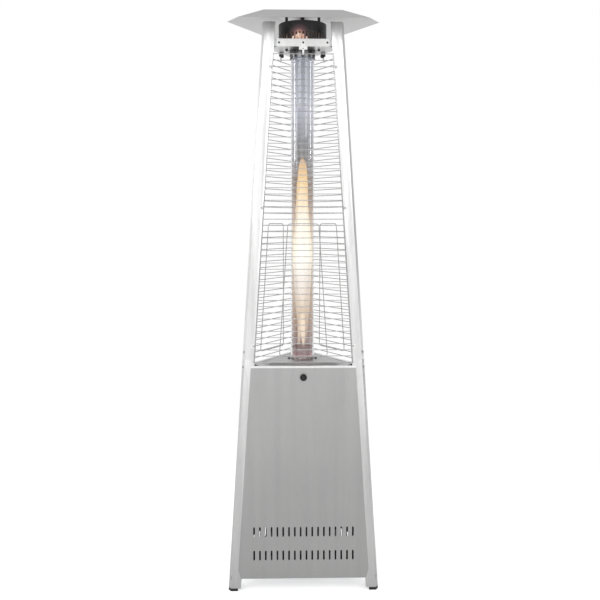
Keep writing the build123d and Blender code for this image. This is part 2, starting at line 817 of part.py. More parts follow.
def gas_valve():
    """Valve body with its turning plug, the stem that slides in the plug, and the knob."""
    body = block((-valve_half, valve_half), (-valve_half, valve_half), (valve_back, valve_front))
    body += rod(fitting_radius, (0, 0, valve_back - fitting_length), (0, 0, valve_back))
    inlet_tip = -valve_half - fitting_length
    body += rod(fitting_radius + sheet, (inlet_tip, 0, side_port), (-valve_half, 0, side_port))
    body += rod(thin_port, (valve_half, 0, side_port), (valve_half + thin_port_length, 0, side_port))
    for sign in (-1, 1):
        body += rod(thin_port, (sign * lead_port_x, lead_port_rise, valve_back - thin_port_length),
                    (sign * lead_port_x, lead_port_rise, valve_back))
    body -= rod(plug_radius, (0, 0, plug_back), (0, 0, plug_front))
    body -= rod(stem_radius + 2 * run_fit, (0, 0, plug_front), (0, 0, valve_front + overrun))
    body -= rod(pipe_radius + seat, (0, 0, valve_back - fitting_length - overrun), (0, 0, valve_back - sheet))
    save("gas_valve", at_valve(body))

    plug = rod(plug_radius - run_fit, (0, 0, plug_back + run_fit), (0, 0, plug_front - run_fit))
    plug -= rod(stem_radius + run_fit, (0, 0, plug_back + sheet), (0, 0, plug_front + overrun))
    save("valve_plug", at_valve(plug))
    stem = rod(stem_radius, (0, 0, stem_back), (0, 0, stem_front))
    save("knob_stem", at_valve(stem))

    skirt_top = knob_rest + skirt_height
    knob = rod(sleeve_radius, (0, 0, sleeve_back), (0, 0, knob_rest))
    knob += rod(knob_skirt, (0, 0, knob_rest), (0, 0, skirt_top))
    knob += rod(grip_radius, (0, 0, skirt_top), (0, 0, skirt_top + grip_height))
    knob = knob.solid()
    tops = knob.edges().filter_by(GeomType.CIRCLE).sort_by(Axis.Z)[-1:]
    knob = fillet(tops, sheet)
    knob -= rod(stem_radius, (0, 0, sleeve_back - overrun), (0, 0, stem_front))
    for i in range(knob_notches):
        out = around(knob_skirt, i * full_turn / knob_notches)
        knob -= rod(sheet, (out.X, out.Y, knob_rest - overrun), (out.X, out.Y, skirt_top + overrun))
    save("control_knob", at_valve(knob))

    edge = slope(deck_edge_height - sheet) - slope(knob_height) - gap
    front = valve_front + bracket_wall
    across = (-valve_bracket_half, valve_bracket_half)
    depth = (valve_front - valve_bracket_depth, front)
    bracket = block(across, (-valve_bracket_drop, edge), (valve_front, front))
    bracket += block(across, (edge - bracket_wall, edge), depth)
    bracket -= rod(plug_radius, (0, 0, valve_front - overrun), (0, 0, front + overrun))
    save("valve_bracket", at_valve(bracket))
    top = edge - bracket_wall
    rows = (top - switch_height, top - seat)
    switch = block((-valve_bracket_half, -valve_half - gap), rows, (depth[0], valve_front - seat))
    save("tilt_switch", at_valve(switch))


arc_share = 0.45


def cord_radii(points):
    """The largest arc that two runs allow at each corner of a route."""
    radii = []
    for before, point, after in zip(points, points[1:], points[2:]):
        turn = radians((point - before).get_angle(after - point))
        radii.append(arc_share * min((point - before).length, (after - point).length) / tan(turn / 2))
    return radii


def piped(points, radius):
    """A pipe of straight runs and tangent arcs."""
    points = [Vector(*point) for point in points]
    path = FilletPolyline(*points, radius=cord_radii(points))
    return sweep(Plane(origin=path @ 0, z_dir=path % 0) * Circle(radius), path=path)


def pipes():
    """Rigid gas pipe, the pilot pipe, the thermocouple and the igniter with their leads."""
    inlet = mixing_low - jet_holder_height / 2
    start = valve_point(0, 0, valve_back - sheet - seat)
    bend = valve_point(0, 0, valve_back - fitting_length - 7 * pipe_radius)
    drop = Vector(bend.X, bend.Y, inlet)
    save("main_pipe", piped([start, bend, drop, (0, -seat, inlet)], pipe_radius))

    low = plate_low - 2 * pipe_radius
    port = valve_point(valve_half + thin_port_length, 0, side_port)
    out = valve_point(valve_half + thin_port_length + 5 * thin_pipe, 0, side_port)
    under = low - 7 * thin_pipe
    route = [port, out, (out.X, -burner_plate_radius / 2, under), (out.X, pilot_spot.Y, under),
             (pilot_spot.X, pilot_spot.Y, under), (pilot_spot.X, pilot_spot.Y, low)]
    save("pilot_pipe", piped(route, thin_pipe))
    pilot = upright(pilot_radius, pilot_spot, low, pilot_top) - upright(
        pilot_radius / 2, pilot_spot, low + overrun, pilot_top + overrun)
    save("pilot_burner", pilot)

    port = valve_point(-lead_port_x, lead_port_rise, valve_back - thin_port_length)
    out = valve_point(-lead_port_x, lead_port_rise, valve_back - thin_port_length - lead_run)
    route = [port, out, (-lead_pass, 0, under),
             (probe_spot.X - lead_radius, probe_spot.Y - lead_run, under),
             (probe_spot.X, probe_spot.Y, under + lead_run), (probe_spot.X, probe_spot.Y, low)]
    probe = upright(probe_radius, probe_spot, low, pilot_top)
    save("thermocouple", piped(route, lead_radius) + probe)

    port = valve_point(lead_port_x, lead_port_rise, valve_back - thin_port_length)
    out = valve_point(lead_port_x, lead_port_rise, valve_back - thin_port_length - lead_run)
    route = [port, out, (lead_pass, 0, under),
             (igniter_spot.X + lead_radius, igniter_spot.Y - lead_run, under),
             (igniter_spot.X, igniter_spot.Y, under + lead_run), (igniter_spot.X, igniter_spot.Y, low)]
    ceramic = upright(ceramic_radius, igniter_spot, low, ceramic_top)
    ceramic += upright(electrode_radius, igniter_spot, ceramic_top, pilot_top - bead_height)
    save("igniter", piped(route, lead_radius) + ceramic)


# Glass tube with its gaskets and collar
collar_height = 31.0
collar_bead = 1.0
pan_hole = collar_radius - collar_wall


def collar_screw_hole():
    spot = Vector(0, -collar_screw_reach)
    return upright(screw_radius, spot, pan_height - overrun, pan_height + overrun)


def glass_and_collar():
    seat_ring = ring(tube_radius, tube_radius - gasket_width, deck_height, tube_low)
    save("glass_tube", ring(tube_radius, tube_radius - tube_wall, tube_low, tube_top))
    inner = collar_radius - collar_wall
    low = pan_height - collar_height
    collar = ring(collar_radius, inner, low, pan_height)
    collar += ring(collar_flange, inner, pan_height - sheet, pan_height)
    for height in (low + sheet, low + collar_height / 2):
        collar += ring(collar_radius + collar_bead, collar_radius - collar_wall / 2,
                       height - sheet, height + sheet)
    collar -= all_round(collar_screw_hole())
    save("tube_collar", collar)
    collar_ring = ring(inner - seat, tube_radius + seat, low + 2 * sheet, low + collar_height / 2)
    save("tube_gaskets", seat_ring, collar_ring)


# Support pan, hood and reflector, tied by long rods
rod_radius = 3.0
rod_clearance = 0.2
nut_height = 5.0
rod_low = pan_height - 2 * nut_height
spacer_radius = 5.8
centre_spacer = 8.0
hood_wall = 1.0
slot_rise = 26.0
slot_length = 34.0
slot_width = 7.0
slot_count = 44
flat_margin = 2.5
flat_tip = 84.5
reflector_run = 99.5
reflector_tip = 120.0
reflector_flat = hood_radius + flat_margin
reflector_flat_corner = reflector_flat + flat_tip
reflector_reach = reflector_flat + reflector_run
reflector_corner = reflector_reach + reflector_tip
pan_screw_inset = 9.0
clip_half = 16.5
clip_height = 13.0
clip_tab = 6.5
clip_tongue = 4.0
clip_wall = 1.5
thumb_radius = 8.0
thumb_length = 9.0
rod_spots = [around(rod_reach, turn) for turn in (90, 210, 330)]
guard_centre = guard_rod + seat


def rod_holes(low, high, centre):
    spots = rod_spots + ([Vector(0, 0)] if centre else [])
    return [upright(rod_radius + rod_clearance, spot, low - overrun, high + overrun) for spot in spots]


def pan_screw_x():
    """How far from the middle of a side the screws into the brackets sit."""
    reach = inradius(pan_height) - pan_inset
    corner = corner_reach(pan_height + pan_depth, pan_corner_gap)
    return (corner - reach * sin(radians(30))) / cos(radians(30)) - pan_screw_inset


def pan_screw_hole(x):
    row = slope(pan_height + pan_depth / 2)
    return rod(screw_radius, (x, row, -2 * overrun), (x, row, overrun))


def support_pan():
    """Pressed pan between the posts, with its screws, guard clips and their thumb screws."""
    reach = inradius(pan_height) - pan_inset
    corner = corner_reach(pan_height + pan_depth, pan_corner_gap)
    pan = plate(cut_triangle(reach, corner), pan_height, pan_height + sheet)
    pan += all_round(side_flange(reach, corner, sheet, pan_height, pan_depth))
    pan -= [rod(pan_hole, (0, 0, pan_height - overrun), (0, 0, pan_height + overrun))]
    pan -= rod_holes(pan_height, pan_height + sheet, False)
    pan -= all_round(collar_screw_hole())
    middle = pan_height + pan_depth / 2
    half = pan_screw_x()
    outer = -pan_inset * cos(lean)
    clip_back = outer + seat
    clip_front = clip_back + clip_wall
    pins = [(-half, outer, sheet), (0, clip_front, sheet + clip_wall + seat), (half, outer, sheet)]
    screws = []
    for x, top, depth in pins:
        row = slope(middle)
        grip = bracket_wall + 2 * seat if x else seat
        shank = rod(screw_radius, (x, row, top - depth - grip), (x, row, top))
        hole = pan_screw_hole(x)
        head = rod(screw_head, (x, row, top), (x, row, top + screw_head_height))
        pan -= all_round(face.location * hole)
        screws += all_round(face.location * (head + shank))
    under = pan_height - sheet
    collar_screw = upright(screw_head, Vector(0, -collar_screw_reach), under - screw_head_height, under)
    collar_screw += upright(screw_radius, Vector(0, -collar_screw_reach), under, pan_height + sheet + sheet)
    save("support_pan", pan)
    save("pan_screws", *screws, *all_round(collar_screw))

    low, high = slope(pan_height - clip_height), slope(pan_height - seat)
    back, front = clip_back, clip_front
    clip = block((-clip_half, clip_half), (low, high), (back, front))
    clip += block((-clip_tab, clip_tab), (high, slope(middle + clip_tab)), (back, front))
    hook = slope(wire_top - wire_radius - clip_wall - gap)
    clip += block((-clip_tongue, clip_tongue), (hook, low), (back, front))
    clip += block((-clip_tongue, clip_tongue), (hook, hook + clip_wall), (back, guard_centre + wire_radius))
    hole = rod(screw_radius, (0, slope(middle), -overrun), (0, slope(middle), overrun))
    row = high - thumb_radius - gap
    clip -= [hole, rod(screw_radius, (0, row, -overrun), (0, row, overrun))]
    save("guard_clips", *all_round(face.location * clip))
    thumb = rod(screw_radius, (0, row, back), (0, row, front + seat))
    thumb += rod(thumb_radius, (0, row, back - thumb_length), (0, row, back - seat))
    thumb += rod(screw_radius, (0, row, back - thumb_length / 2), (0, row, back))
    save("thumb_screws", *all_round(face.location * thumb))


def hat(reach, corner, flat, flat_corner, low, high):
    """Solid hat between a cut triangle at the rim and a smaller one at the top."""
    sections = []
    for height, side, tip in ((low, reach, corner), (high, flat, flat_corner)):
        sections.append(Pos(0, 0, height) * make_face(Polyline(*cut_triangle(side, tip), close=True)))
    return loft(sections, ruled=True)


def hood_and_reflector():
    """Slotted hood on the pan, the reflector on spacers above it, and the rods and nuts."""
    low = pan_height + sheet
    hood = rod(hood_radius, (0, 0, low), (0, 0, hood_top))
    hood -= rod(hood_radius - hood_wall, (0, 0, low - overrun), (0, 0, hood_top - hood_wall))
    middle = pan_height + slot_rise + slot_length / 2
    cutters = []
    for i in range(slot_count):
        out = around(1, i * full_turn / slot_count)
        start = out * (hood_radius - overrun)
        wall = Plane(origin=(start.X, start.Y, middle), x_dir=(-out.Y, out.X, 0), z_dir=(out.X, out.Y, 0))
        cutters.append(extrude(wall * SlotOverall(slot_length, slot_width, rotation=90), 2 * overrun))
    hood -= cutters
    hood -= rod_holes(hood_top, hood_top, True)
    save("flame_hood", hood)

    run = reflector_reach - reflector_flat
    rise = reflector_top - rim_height
    side_in = sheet * sqrt(run ** 2 + rise ** 2) / rise
    corner_run = reflector_corner - reflector_flat_corner
    tip_in = sheet * sqrt(corner_run ** 2 + rise ** 2) / rise
    drop = run / rise * sheet
    tip_drop = corner_run / rise * sheet
    outer = hat(reflector_reach, reflector_corner, reflector_flat, reflector_flat_corner,
                rim_height, reflector_top)
    inner = hat(reflector_reach - side_in + drop, reflector_corner - tip_in + tip_drop,
                reflector_flat - side_in + drop, reflector_flat_corner - tip_in + tip_drop,
                rim_height - sheet, reflector_top - sheet)
    save("reflector", outer - inner - rod_holes(reflector_top, reflector_top, True))

    top = reflector_top + nut_height
    rods = [upright(rod_radius, spot, rod_low, top) for spot in rod_spots]
    rods.append(rod(rod_radius, (0, 0, hood_top - hood_wall - nut_height - seat), (0, 0, top)))
    save("reflector_rods", *rods)
    under = reflector_top - sheet
    spacers = [upright(spacer_radius, spot, hood_top, under) - upright(
        rod_radius + run_fit, spot, hood_top - overrun, under + overrun) for spot in rod_spots]
    spacers.append(ring(centre_spacer, rod_radius + run_fit, hood_top, under))
    save("rod_spacers", *spacers)
    nuts = []
    lower = [(spot, pan_height - nut_height) for spot in rod_spots]
    lower.append((Vector(0, 0), hood_top - hood_wall - nut_height))
    upper = [(spot, reflector_top) for spot in rod_spots + [Vector(0, 0)]]
    for spot, height in lower + upper:
        nut = Pos(spot.X, spot.Y, height) * extrude(RegularPolygon(nut_radius, 6), nut_height)
        bore = upright(rod_radius + run_fit, spot, height - overrun, height + nut_height + overrun)
        nuts.append(nut - bore)
    save("rod_nuts", *nuts)


# Guards
loop_rise = 22.0
loop_length = 535.0
loop_low = wire_low + loop_rise
loop_top = loop_low + loop_length
loop_top_half = 62.0
loop_low_half = 97.0
loop_radius = 14.0
weld = 0.4
rod_tail = 4.0
guard_foot = wire_low - rod_tail
guard_head = wire_top + rod_tail
tab_half = 8.0
tab_wall = 1.5


def guards():
    """Welded wire guards that lie on the post flanges, and the screws through their tabs."""
    rods = [rod(guard_rod, (sign * guard_x(guard_foot), slope(guard_foot), guard_centre),
                (sign * guard_x(guard_head), slope(guard_head), guard_centre)) for sign in (-1, 1)]
    wires = []
    for i in range(wire_count):
        height = wire_low + i * wire_pitch
        half, row = guard_x(height), slope(height)
        wires.append(rod(wire_radius, (-half, row, guard_centre), (half, row, guard_centre)))
    depth = guard_centre - 2 * wire_radius + weld
    corners = [(-loop_low_half, slope(loop_low), depth), (loop_low_half, slope(loop_low), depth),
               (loop_top_half, slope(loop_top), depth), (-loop_top_half, slope(loop_top), depth)]
    path = FilletPolyline(*corners, radius=loop_radius, close=True)
    loop = sweep(Plane(origin=path @ 0, z_dir=path % 0) * Circle(wire_radius), path=path)
    tabs, screws = [], []
    for height in guard_screw_heights:
        for sign in (-1, 1):
            x, row = sign * tab_x(height), slope(height)
            half = guard_tab / 2 + guard_rod / 2
            tab = block((x - half, x + half), (row - tab_half, row + tab_half), (seat, seat + tab_wall))
            tabs.append(tab - face_hole(x, height, screw_radius + seat))
            top = seat + tab_wall
            screw = rod(screw_head, (x, row, top), (x, row, top + screw_head_height))
            screws.append(screw + rod(screw_radius, (x, row, -overrun), (x, row, top)))
    guard = rods[0] + (rods[1:] + wires + [loop] + tabs)
    for side in side_turns:
        save(f"guard_{side}", on_side(side, guard))
    save("guard_screws", *[on_side(side, screw) for side in side_turns for screw in screws])


# Gas cylinder, its valve, the regulator and the hose
shell_lift = 18.0
shell_height = 320.0
shell_low = tray_height + shell_lift
shell_top = shell_low + shell_height
cylinder_room = 19.08
cylinder_radius = inradius(shell_top) - cylinder_room
cylinder_wall = 2.5
shell_knuckle = 35.0
crown_share = 2.0
foot_ring_inset = 48.0
foot_ring_radius = cylinder_radius - foot_ring_inset
foot_ring_wall = 3.0
foot_ring_height = 34.0
boss_radius = 20.0
boss_height = 10.0
collar_ring_inset = 53.0
collar_ring_radius = cylinder_radius - collar_ring_inset
collar_ring_sink = 20.0
collar_ring_rise = 78.0
collar_ring_low = shell_top - collar_ring_sink
collar_ring_top = shell_top + collar_ring_rise
collar_opening = 150.0
handle_width = 84.0
handle_height = 24.0
handle_rise = 36.0
handle_low = shell_top + handle_rise
valve_stalk = 13.0
outlet_rise = 32.0
outlet_height = shell_top + outlet_rise
outlet_length = 34.0
outlet_radius = 11.0
stalk_rise = 20.0
stalk_top = outlet_height + stalk_rise
spindle_radius = 4.0
spindle_length = 24.0
spindle_top = stalk_top + spindle_length
wheel_radius = 29.0
wheel_bore_fit = 0.06
wheel_lift = 8.0
wheel_low = stalk_top + wheel_lift
wheel_height = 13.0
wheel_lobes = 6
nut_outer = 17.0
nut_length = 20.0
regulator_radius = 34.0
regulator_height = 22.0
regulator_run = 50.0
regulator_middle = outlet_length + regulator_run
cap_radius = 21.0
cap_height = 9.0
barb_radius = 5.0
barb_length = 26.0
hose_radius = 6.5
hose_run = 78.0
hose_route = [(-48, 138, 530), (-80, 60, 640), (-102, -30, 760)]
supply_turn = 30


def supply(solid):
    """Turn a solid made along +X towards the door."""
    return Rot(0, 0, supply_turn) * solid


def vessel(radius, knuckle, crown, low, high):
    """Closed round vessel whose domed ends are a shallow crown with a rounded knuckle."""
    centre = radius - knuckle
    drop = sqrt((crown - knuckle) ** 2 - centre ** 2)
    rise = crown - drop
    turn = degrees(atan(drop / centre))
    outline = [
        CenterArc((0, low + crown), crown, 270, 90 - turn),
        CenterArc((centre, low + rise), knuckle, 360 - turn, turn),
        Line((radius, low + rise), (radius, high - rise)),
        CenterArc((centre, high - rise), knuckle, 0, turn),
        CenterArc((0, high - crown), crown, turn, 90 - turn),
        Line((0, high), (0, low)),
    ]
    return revolve(Plane.XZ * make_face(outline), Axis.Z)


def gas_supply():
    """The cylinder with foot ring and collar, and what is screwed to it."""
    wall = cylinder_wall
    crown = cylinder_radius * crown_share
    shell = vessel(cylinder_radius, shell_knuckle, crown, shell_low, shell_top)
    inside = vessel(cylinder_radius - wall, shell_knuckle - wall, crown - wall,
                    shell_low + wall, shell_top - wall)
    foot = ring(foot_ring_radius, foot_ring_radius - foot_ring_wall, tray_height,
                shell_low + foot_ring_height)
    collar = ring(collar_ring_radius, collar_ring_radius - foot_ring_wall, collar_ring_low, collar_ring_top)
    collar -= block((0, 2 * collar_ring_radius), (-collar_opening / 2, collar_opening / 2),
                    (shell_top, collar_ring_top + overrun))
    handle = block((-2 * collar_ring_radius, 0), (-handle_width / 2, handle_width / 2),
                   (handle_low, handle_low + handle_height))
    collar -= [Rot(0, 0, turn - supply_turn) * handle for turn in (0, 90)]
    boss = rod(boss_radius, (0, 0, shell_top - boss_height), (0, 0, shell_top + boss_height))
    bore = rod(valve_stalk, (0, 0, shell_top - 2 * boss_height), (0, 0, shell_top + 2 * boss_height))
    body = shell + [foot, collar, boss]
    body = body - inside
    save("gas_cylinder", supply(body - bore))

    stalk = rod(valve_stalk, (0, 0, shell_top - boss_height), (0, 0, stalk_top))
    stalk += rod(boss_radius, (0, 0, shell_top + boss_height), (0, 0, shell_top + boss_height + sheet))
    stalk += rod(outlet_radius, (0, 0, outlet_height), (outlet_length, 0, outlet_height))
    stalk += rod(spindle_radius, (0, 0, stalk_top), (0, 0, spindle_top))
    save("cylinder_valve", supply(stalk))

    wheel = rod(wheel_radius, (0, 0, wheel_low), (0, 0, wheel_low + wheel_height))
    grooves = []
    for i in range(wheel_lobes):
        spot = around(wheel_radius + overrun, i * full_turn / wheel_lobes)
        grooves.append(upright(2 * overrun, spot, wheel_low - overrun, wheel_low + 2 * wheel_height))
    wheel = wheel - grooves - rod(spindle_radius + wheel_bore_fit, (0, 0, wheel_low - overrun),
                                  (0, 0, wheel_low + 2 * wheel_height))
    save("handwheel", supply(wheel))

    start = outlet_length - nut_length / 2
    body = rod(nut_outer, (start, 0, outlet_height), (start + nut_length, 0, outlet_height))
    tip = (outlet_length + seat, 0, outlet_height)
    body -= rod(outlet_radius + seat, (start - overrun, 0, outlet_height), tip)
    body += rod(outlet_radius, (start + nut_length, 0, outlet_height), (regulator_middle, 0, outlet_height))
    middle = outlet_height
    disc = Pos(regulator_middle, 0, 0) * rod(regulator_radius, (0, 0, middle - regulator_height / 2),
                                             (0, 0, middle + regulator_height / 2))
    disc = chamfer(disc.edges().filter_by(GeomType.CIRCLE), regulator_height / 4)
    cap_top = middle + regulator_height / 2 + cap_height
    cap = rod(cap_radius, (regulator_middle, 0, middle), (regulator_middle, 0, cap_top))
    barb_tip = regulator_radius + barb_length
    barb = rod(barb_radius, (regulator_middle, 0, middle), (regulator_middle, barb_tip, middle))
    save("regulator", supply(body + disc + cap + barb))

    barb_end = regulator_radius + barb_length + seat
    start = (Rot(0, 0, supply_turn) * Pos(regulator_middle, barb_end, middle)).position
    out = (Rot(0, 0, supply_turn) * Pos(regulator_middle, barb_end + hose_run, middle)).position
    end = valve_point(-valve_half - fitting_length - seat, 0, side_port)
    turn = valve_point(-valve_half - fitting_length - hose_run, 0, side_port)
    route = [start, out, *hose_route, turn, end]
    points = [Vector(*point) for point in route]
    print("hose radii", [round(value) for value in cord_radii(points)])
    hose = piped(points, hose_radius)
    path_length = FilletPolyline(*points, radius=cord_radii(points)).length
    print("hose volume", round(hose.volume), "against", round(path_length * pi * hose_radius ** 2))
    save("gas_hose", hose)


posts()
foot_pads()
joining_sleeves()
base_tray()
fixed_panels()
door_and_hinges()
deck()
angle_brackets()
burner()
gas_valve()
pipes()
glass_and_collar()
support_pan()
hood_and_reflector()
guards()
gas_supply()
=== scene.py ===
import math

import bmesh
import bpy
from mathutils import Matrix, Vector, noise


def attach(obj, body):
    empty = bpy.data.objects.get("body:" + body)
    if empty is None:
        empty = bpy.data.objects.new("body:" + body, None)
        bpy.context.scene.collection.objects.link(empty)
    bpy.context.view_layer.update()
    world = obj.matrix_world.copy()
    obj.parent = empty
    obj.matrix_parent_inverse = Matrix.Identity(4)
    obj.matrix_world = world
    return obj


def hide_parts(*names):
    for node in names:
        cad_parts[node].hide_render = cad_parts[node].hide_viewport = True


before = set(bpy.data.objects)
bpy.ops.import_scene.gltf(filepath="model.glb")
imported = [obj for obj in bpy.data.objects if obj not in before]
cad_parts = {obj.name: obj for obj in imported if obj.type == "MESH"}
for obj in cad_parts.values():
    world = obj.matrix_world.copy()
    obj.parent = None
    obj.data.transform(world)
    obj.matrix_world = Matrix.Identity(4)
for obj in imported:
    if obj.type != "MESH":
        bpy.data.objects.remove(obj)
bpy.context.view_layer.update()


# Corner posts. Each is a strip of stainless steel, bent in a press brake into a bevelled corner with
# two hooked flanges, and satin-brushed along its length. Upper and lower posts meet at a butt seam.
post_colour = (0.96, 0.96, 0.955)
post_grain_dark = (0.7, 0.7, 0.7)
# Painted shade: the posts' colour is darkened towards the floor, and at the very top in the reflector's shadow.
post_painted_shade = [(0.0, 0.4), (0.47, 0.62), (0.82, 0.87), (1.05, 0.94), (1.4, 1.0), (2.25, 1.0),
             (2.296, 0.66)]
post_edge_radius = 0.0007
post_nodes = [f"{level}_post_{corner}" for level in ("lower", "upper") for corner in ("left", "right", "rear")]
band_along = 0.4
streak_share = 0.75
seam_distance = 0.00001
flat_angle = math.radians(0.6)
broken_angle = math.radians(40)


def node_tree_group(name, inputs, outputs):
    """An empty shader group with named number inputs and outputs, and its two end nodes."""
    group = bpy.data.node_groups.new(name, "ShaderNodeTree")
    for socket, value in inputs.items():
        made = group.interface.new_socket(socket, in_out="INPUT", socket_type="NodeSocketFloat")
        made.default_value = value
    for socket in outputs:
        group.interface.new_socket(socket, in_out="OUTPUT", socket_type="NodeSocketFloat")
    return group, group.nodes.new("NodeGroupInput"), group.nodes.new("NodeGroupOutput")


def grouped(tree, group, **values):
    """Outputs of a shared effect, placed in one material with that material's own values."""
    node = tree.nodes.new("ShaderNodeGroup")
    node.node_tree = group
    for socket, value in values.items():
        node.inputs[socket.replace("_", " ")].default_value = value
    return node.outputs


def feed(tree, socket, value):
    """Link a socket to another one, or set it to a plain value."""
    if isinstance(value, bpy.types.NodeSocket):
        tree.links.new(value, socket)
    else:
        socket.default_value = value


def math_node(tree, operation, first, second=None):
    """A sum fed by sockets or plain numbers."""
    node = tree.nodes.new("ShaderNodeMath")
    node.operation = operation
    for socket, value in zip(node.inputs, (first, second)):
        if value is not None:
            feed(tree, socket, value)
    return node.outputs[0]


def noise_at(tree, place, scale, detail=2.0):
    """Cloudy noise of a given fineness at a place."""
    texture = tree.nodes.new("ShaderNodeTexNoise")
    tree.links.new(place, texture.inputs["Vector"])
    feed(tree, texture.inputs["Scale"], scale)
    feed(tree, texture.inputs["Detail"], detail)
    return texture.outputs["Fac"]


def object_place(tree):
    """Place on the object, in metres."""
    return tree.nodes.new("ShaderNodeTexCoord").outputs["Object"]


def split_place(tree, place):
    """The three coordinates of a place."""
    split = tree.nodes.new("ShaderNodeSeparateXYZ")
    tree.links.new(place, split.inputs[0])
    return split.outputs


def brushed_group():
    """Grain of a belt-brushed sheet: hair-fine streaks, wider bands and a slow cloudiness."""
    group, ends, out = node_tree_group(
        "brushed_grain", {"Across": 700.0, "Along": 4.0, "Bands": 45.0, "Clouds": 3.0}, ("Streaks", "Clouds"))
    place = object_place(group)
    split = split_place(group, place)

    def streaks(across, along, detail):
        joined = group.nodes.new("ShaderNodeCombineXYZ")
        for axis, stretch in (("X", across), ("Y", across), ("Z", along)):
            group.links.new(math_node(group, "MULTIPLY", split[axis], stretch), joined.inputs[axis])
        return noise_at(group, joined.outputs[0], 1.0, detail)

    fine = streaks(ends.outputs["Across"], ends.outputs["Along"], 3.0)
    wide = streaks(ends.outputs["Bands"], band_along, 1.0)
    both = math_node(group, "MULTIPLY", math_node(group, "ADD", fine, wide), 0.5)
    group.links.new(both, out.inputs["Streaks"])
    group.links.new(noise_at(group, place, ends.outputs["Clouds"]), out.inputs["Clouds"])
    return group


brushed_grain = brushed_group()


def new_material(name, **constants):
    """A material whose plain values sit on its own Principled shader."""
    made = bpy.data.materials.new(name)
    made.use_nodes = True
    shader = made.node_tree.nodes["Principled BSDF"]
    for socket, value in constants.items():
        shader.inputs[socket.replace("_", " ")].default_value = value
    return made, made.node_tree, shader


def colour_stops(tree, value, stops):
    """A colour or grey that follows a value through a row of stops."""
    node = tree.nodes.new("ShaderNodeValToRGB")
    elements = node.color_ramp.elements
    for _ in stops[2:]:
        elements.new(0.5)
    for element, (position, _) in zip(list(elements), stops):
        element.position = position
    for element, (_, colour) in zip(elements, stops):
        element.color = (colour, colour, colour, 1.0) if isinstance(colour, (int, float)) else (*colour, 1.0)
    tree.links.new(value, node.inputs["Fac"])
    return node.outputs["Color"]


def ramp(tree, value, low, high, start=0.3, end=0.7):
    """Colour or number between two ends as a value rises."""
    return colour_stops(tree, value, [(start, low), (end, high)])


def by_height(tree, stops):
    """A grey or colour that changes with the height above the floor."""
    low, high = stops[0][0], stops[-1][0]
    span = tree.nodes.new("ShaderNodeMapRange")
    span.inputs["From Min"].default_value = low
    span.inputs["From Max"].default_value = high
    tree.links.new(split_place(tree, object_place(tree))["Z"], span.inputs["Value"])
    return colour_stops(tree, span.outputs[0],
                        [((height - low) / (high - low), colour) for height, colour in stops])


def blended(tree, share, first, second, blend="MIX"):
    """Two colours mixed, each plain or from a socket."""
    node = tree.nodes.new("ShaderNodeMix")
    node.data_type = "RGBA"
    node.blend_type = blend
    for socket, value in (("Factor", share), ("A", first), ("B", second)):
        feed(tree, node.inputs[socket], value)
    return node.outputs["Result"]


def recolour(tree, shader, share, colour):
    """Let a second colour show over a shader's own, where the share says."""
    own = shader.inputs["Base Color"].links[0].from_socket
    tree.links.new(blended(tree, share, own, (*colour, 1.0)), shader.inputs["Base Color"])


def bump(tree, shader, height, distance, strength=1.0):
    """Surface relief from a height that is in units of the distance."""
    node = tree.nodes.new("ShaderNodeBump")
    node.inputs["Distance"].default_value = distance
    node.inputs["Strength"].default_value = strength
    tree.links.new(height, node.inputs["Height"])
    tree.links.new(node.outputs[0], shader.inputs["Normal"])


def brushed_steel(name, light, dark, rough=(0.3, 0.42), across=700.0, bands=45.0, painted_shade_by_height=None):
    """Satin stainless steel with its grain running up the sheet, and with painted shade by height if given."""
    made, tree, shader = new_material(name, Metallic=1.0)
    grain = grouped(tree, brushed_grain, Across=across, Bands=bands)
    mixed = math_node(tree, "ADD", math_node(tree, "MULTIPLY", grain["Streaks"], streak_share),
                      math_node(tree, "MULTIPLY", grain["Clouds"], 1 - streak_share))
    colour = ramp(tree, mixed, dark, light)
    # painted shade: the colour is multiplied by a grey that changes with height
    if painted_shade_by_height:
        colour = blended(tree, 1.0, colour, by_height(tree, painted_shade_by_height), "MULTIPLY")
    tree.links.new(colour, shader.inputs["Base Color"])
    tree.links.new(ramp(tree, grain["Streaks"], *rough), shader.inputs["Roughness"])
    bump(tree, shader, grain["Streaks"], 0.00002, 0.4)
    return made


def wear(material, *nodes):
    """Give CAD nodes their finish."""
    for node in nodes:
        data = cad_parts[node].data
        data.materials.clear()
        data.materials.append(material)


def smooth(data, angle=30):
    """Shade a mesh smooth up to an angle between its faces."""
    data.shade_smooth()
    data.set_sharp_from_angle(angle=math.radians(angle))


def rounded(node, radius, material, body="heater", segments=2):
    """The node's own shape with its edges broken, as they are on a bent or moulded piece."""
    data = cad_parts[node].data.copy()
    form = bmesh.new()
    form.from_mesh(data)
    bmesh.ops.remove_doubles(form, verts=form.verts, dist=seam_distance)
    bmesh.ops.dissolve_limit(form, angle_limit=flat_angle, verts=form.verts, edges=form.edges)
    form.to_mesh(data)
    form.free()
    piece = bpy.data.objects.new(f"{node}_shape", data)
    bpy.context.scene.collection.objects.link(piece)
    softener = piece.modifiers.new("edge", "BEVEL")
    softener.width = radius
    softener.segments = segments
    softener.limit_method = "ANGLE"
    softener.angle_limit = broken_angle
    softener.harden_normals = False
    bpy.context.view_layer.update()
    made = bpy.data.meshes.new_from_object(piece.evaluated_get(bpy.context.evaluated_depsgraph_get()))
    piece.modifiers.clear()
    piece.data = made
    made.materials.clear()
    made.materials.append(material)
    smooth(made)
    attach(piece, body)
    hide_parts(node)


post_steel = brushed_steel("post_steel", post_colour, post_grain_dark, painted_shade_by_height=post_painted_shade)
for post in post_nodes:
    rounded(post, post_edge_radius, post_steel)
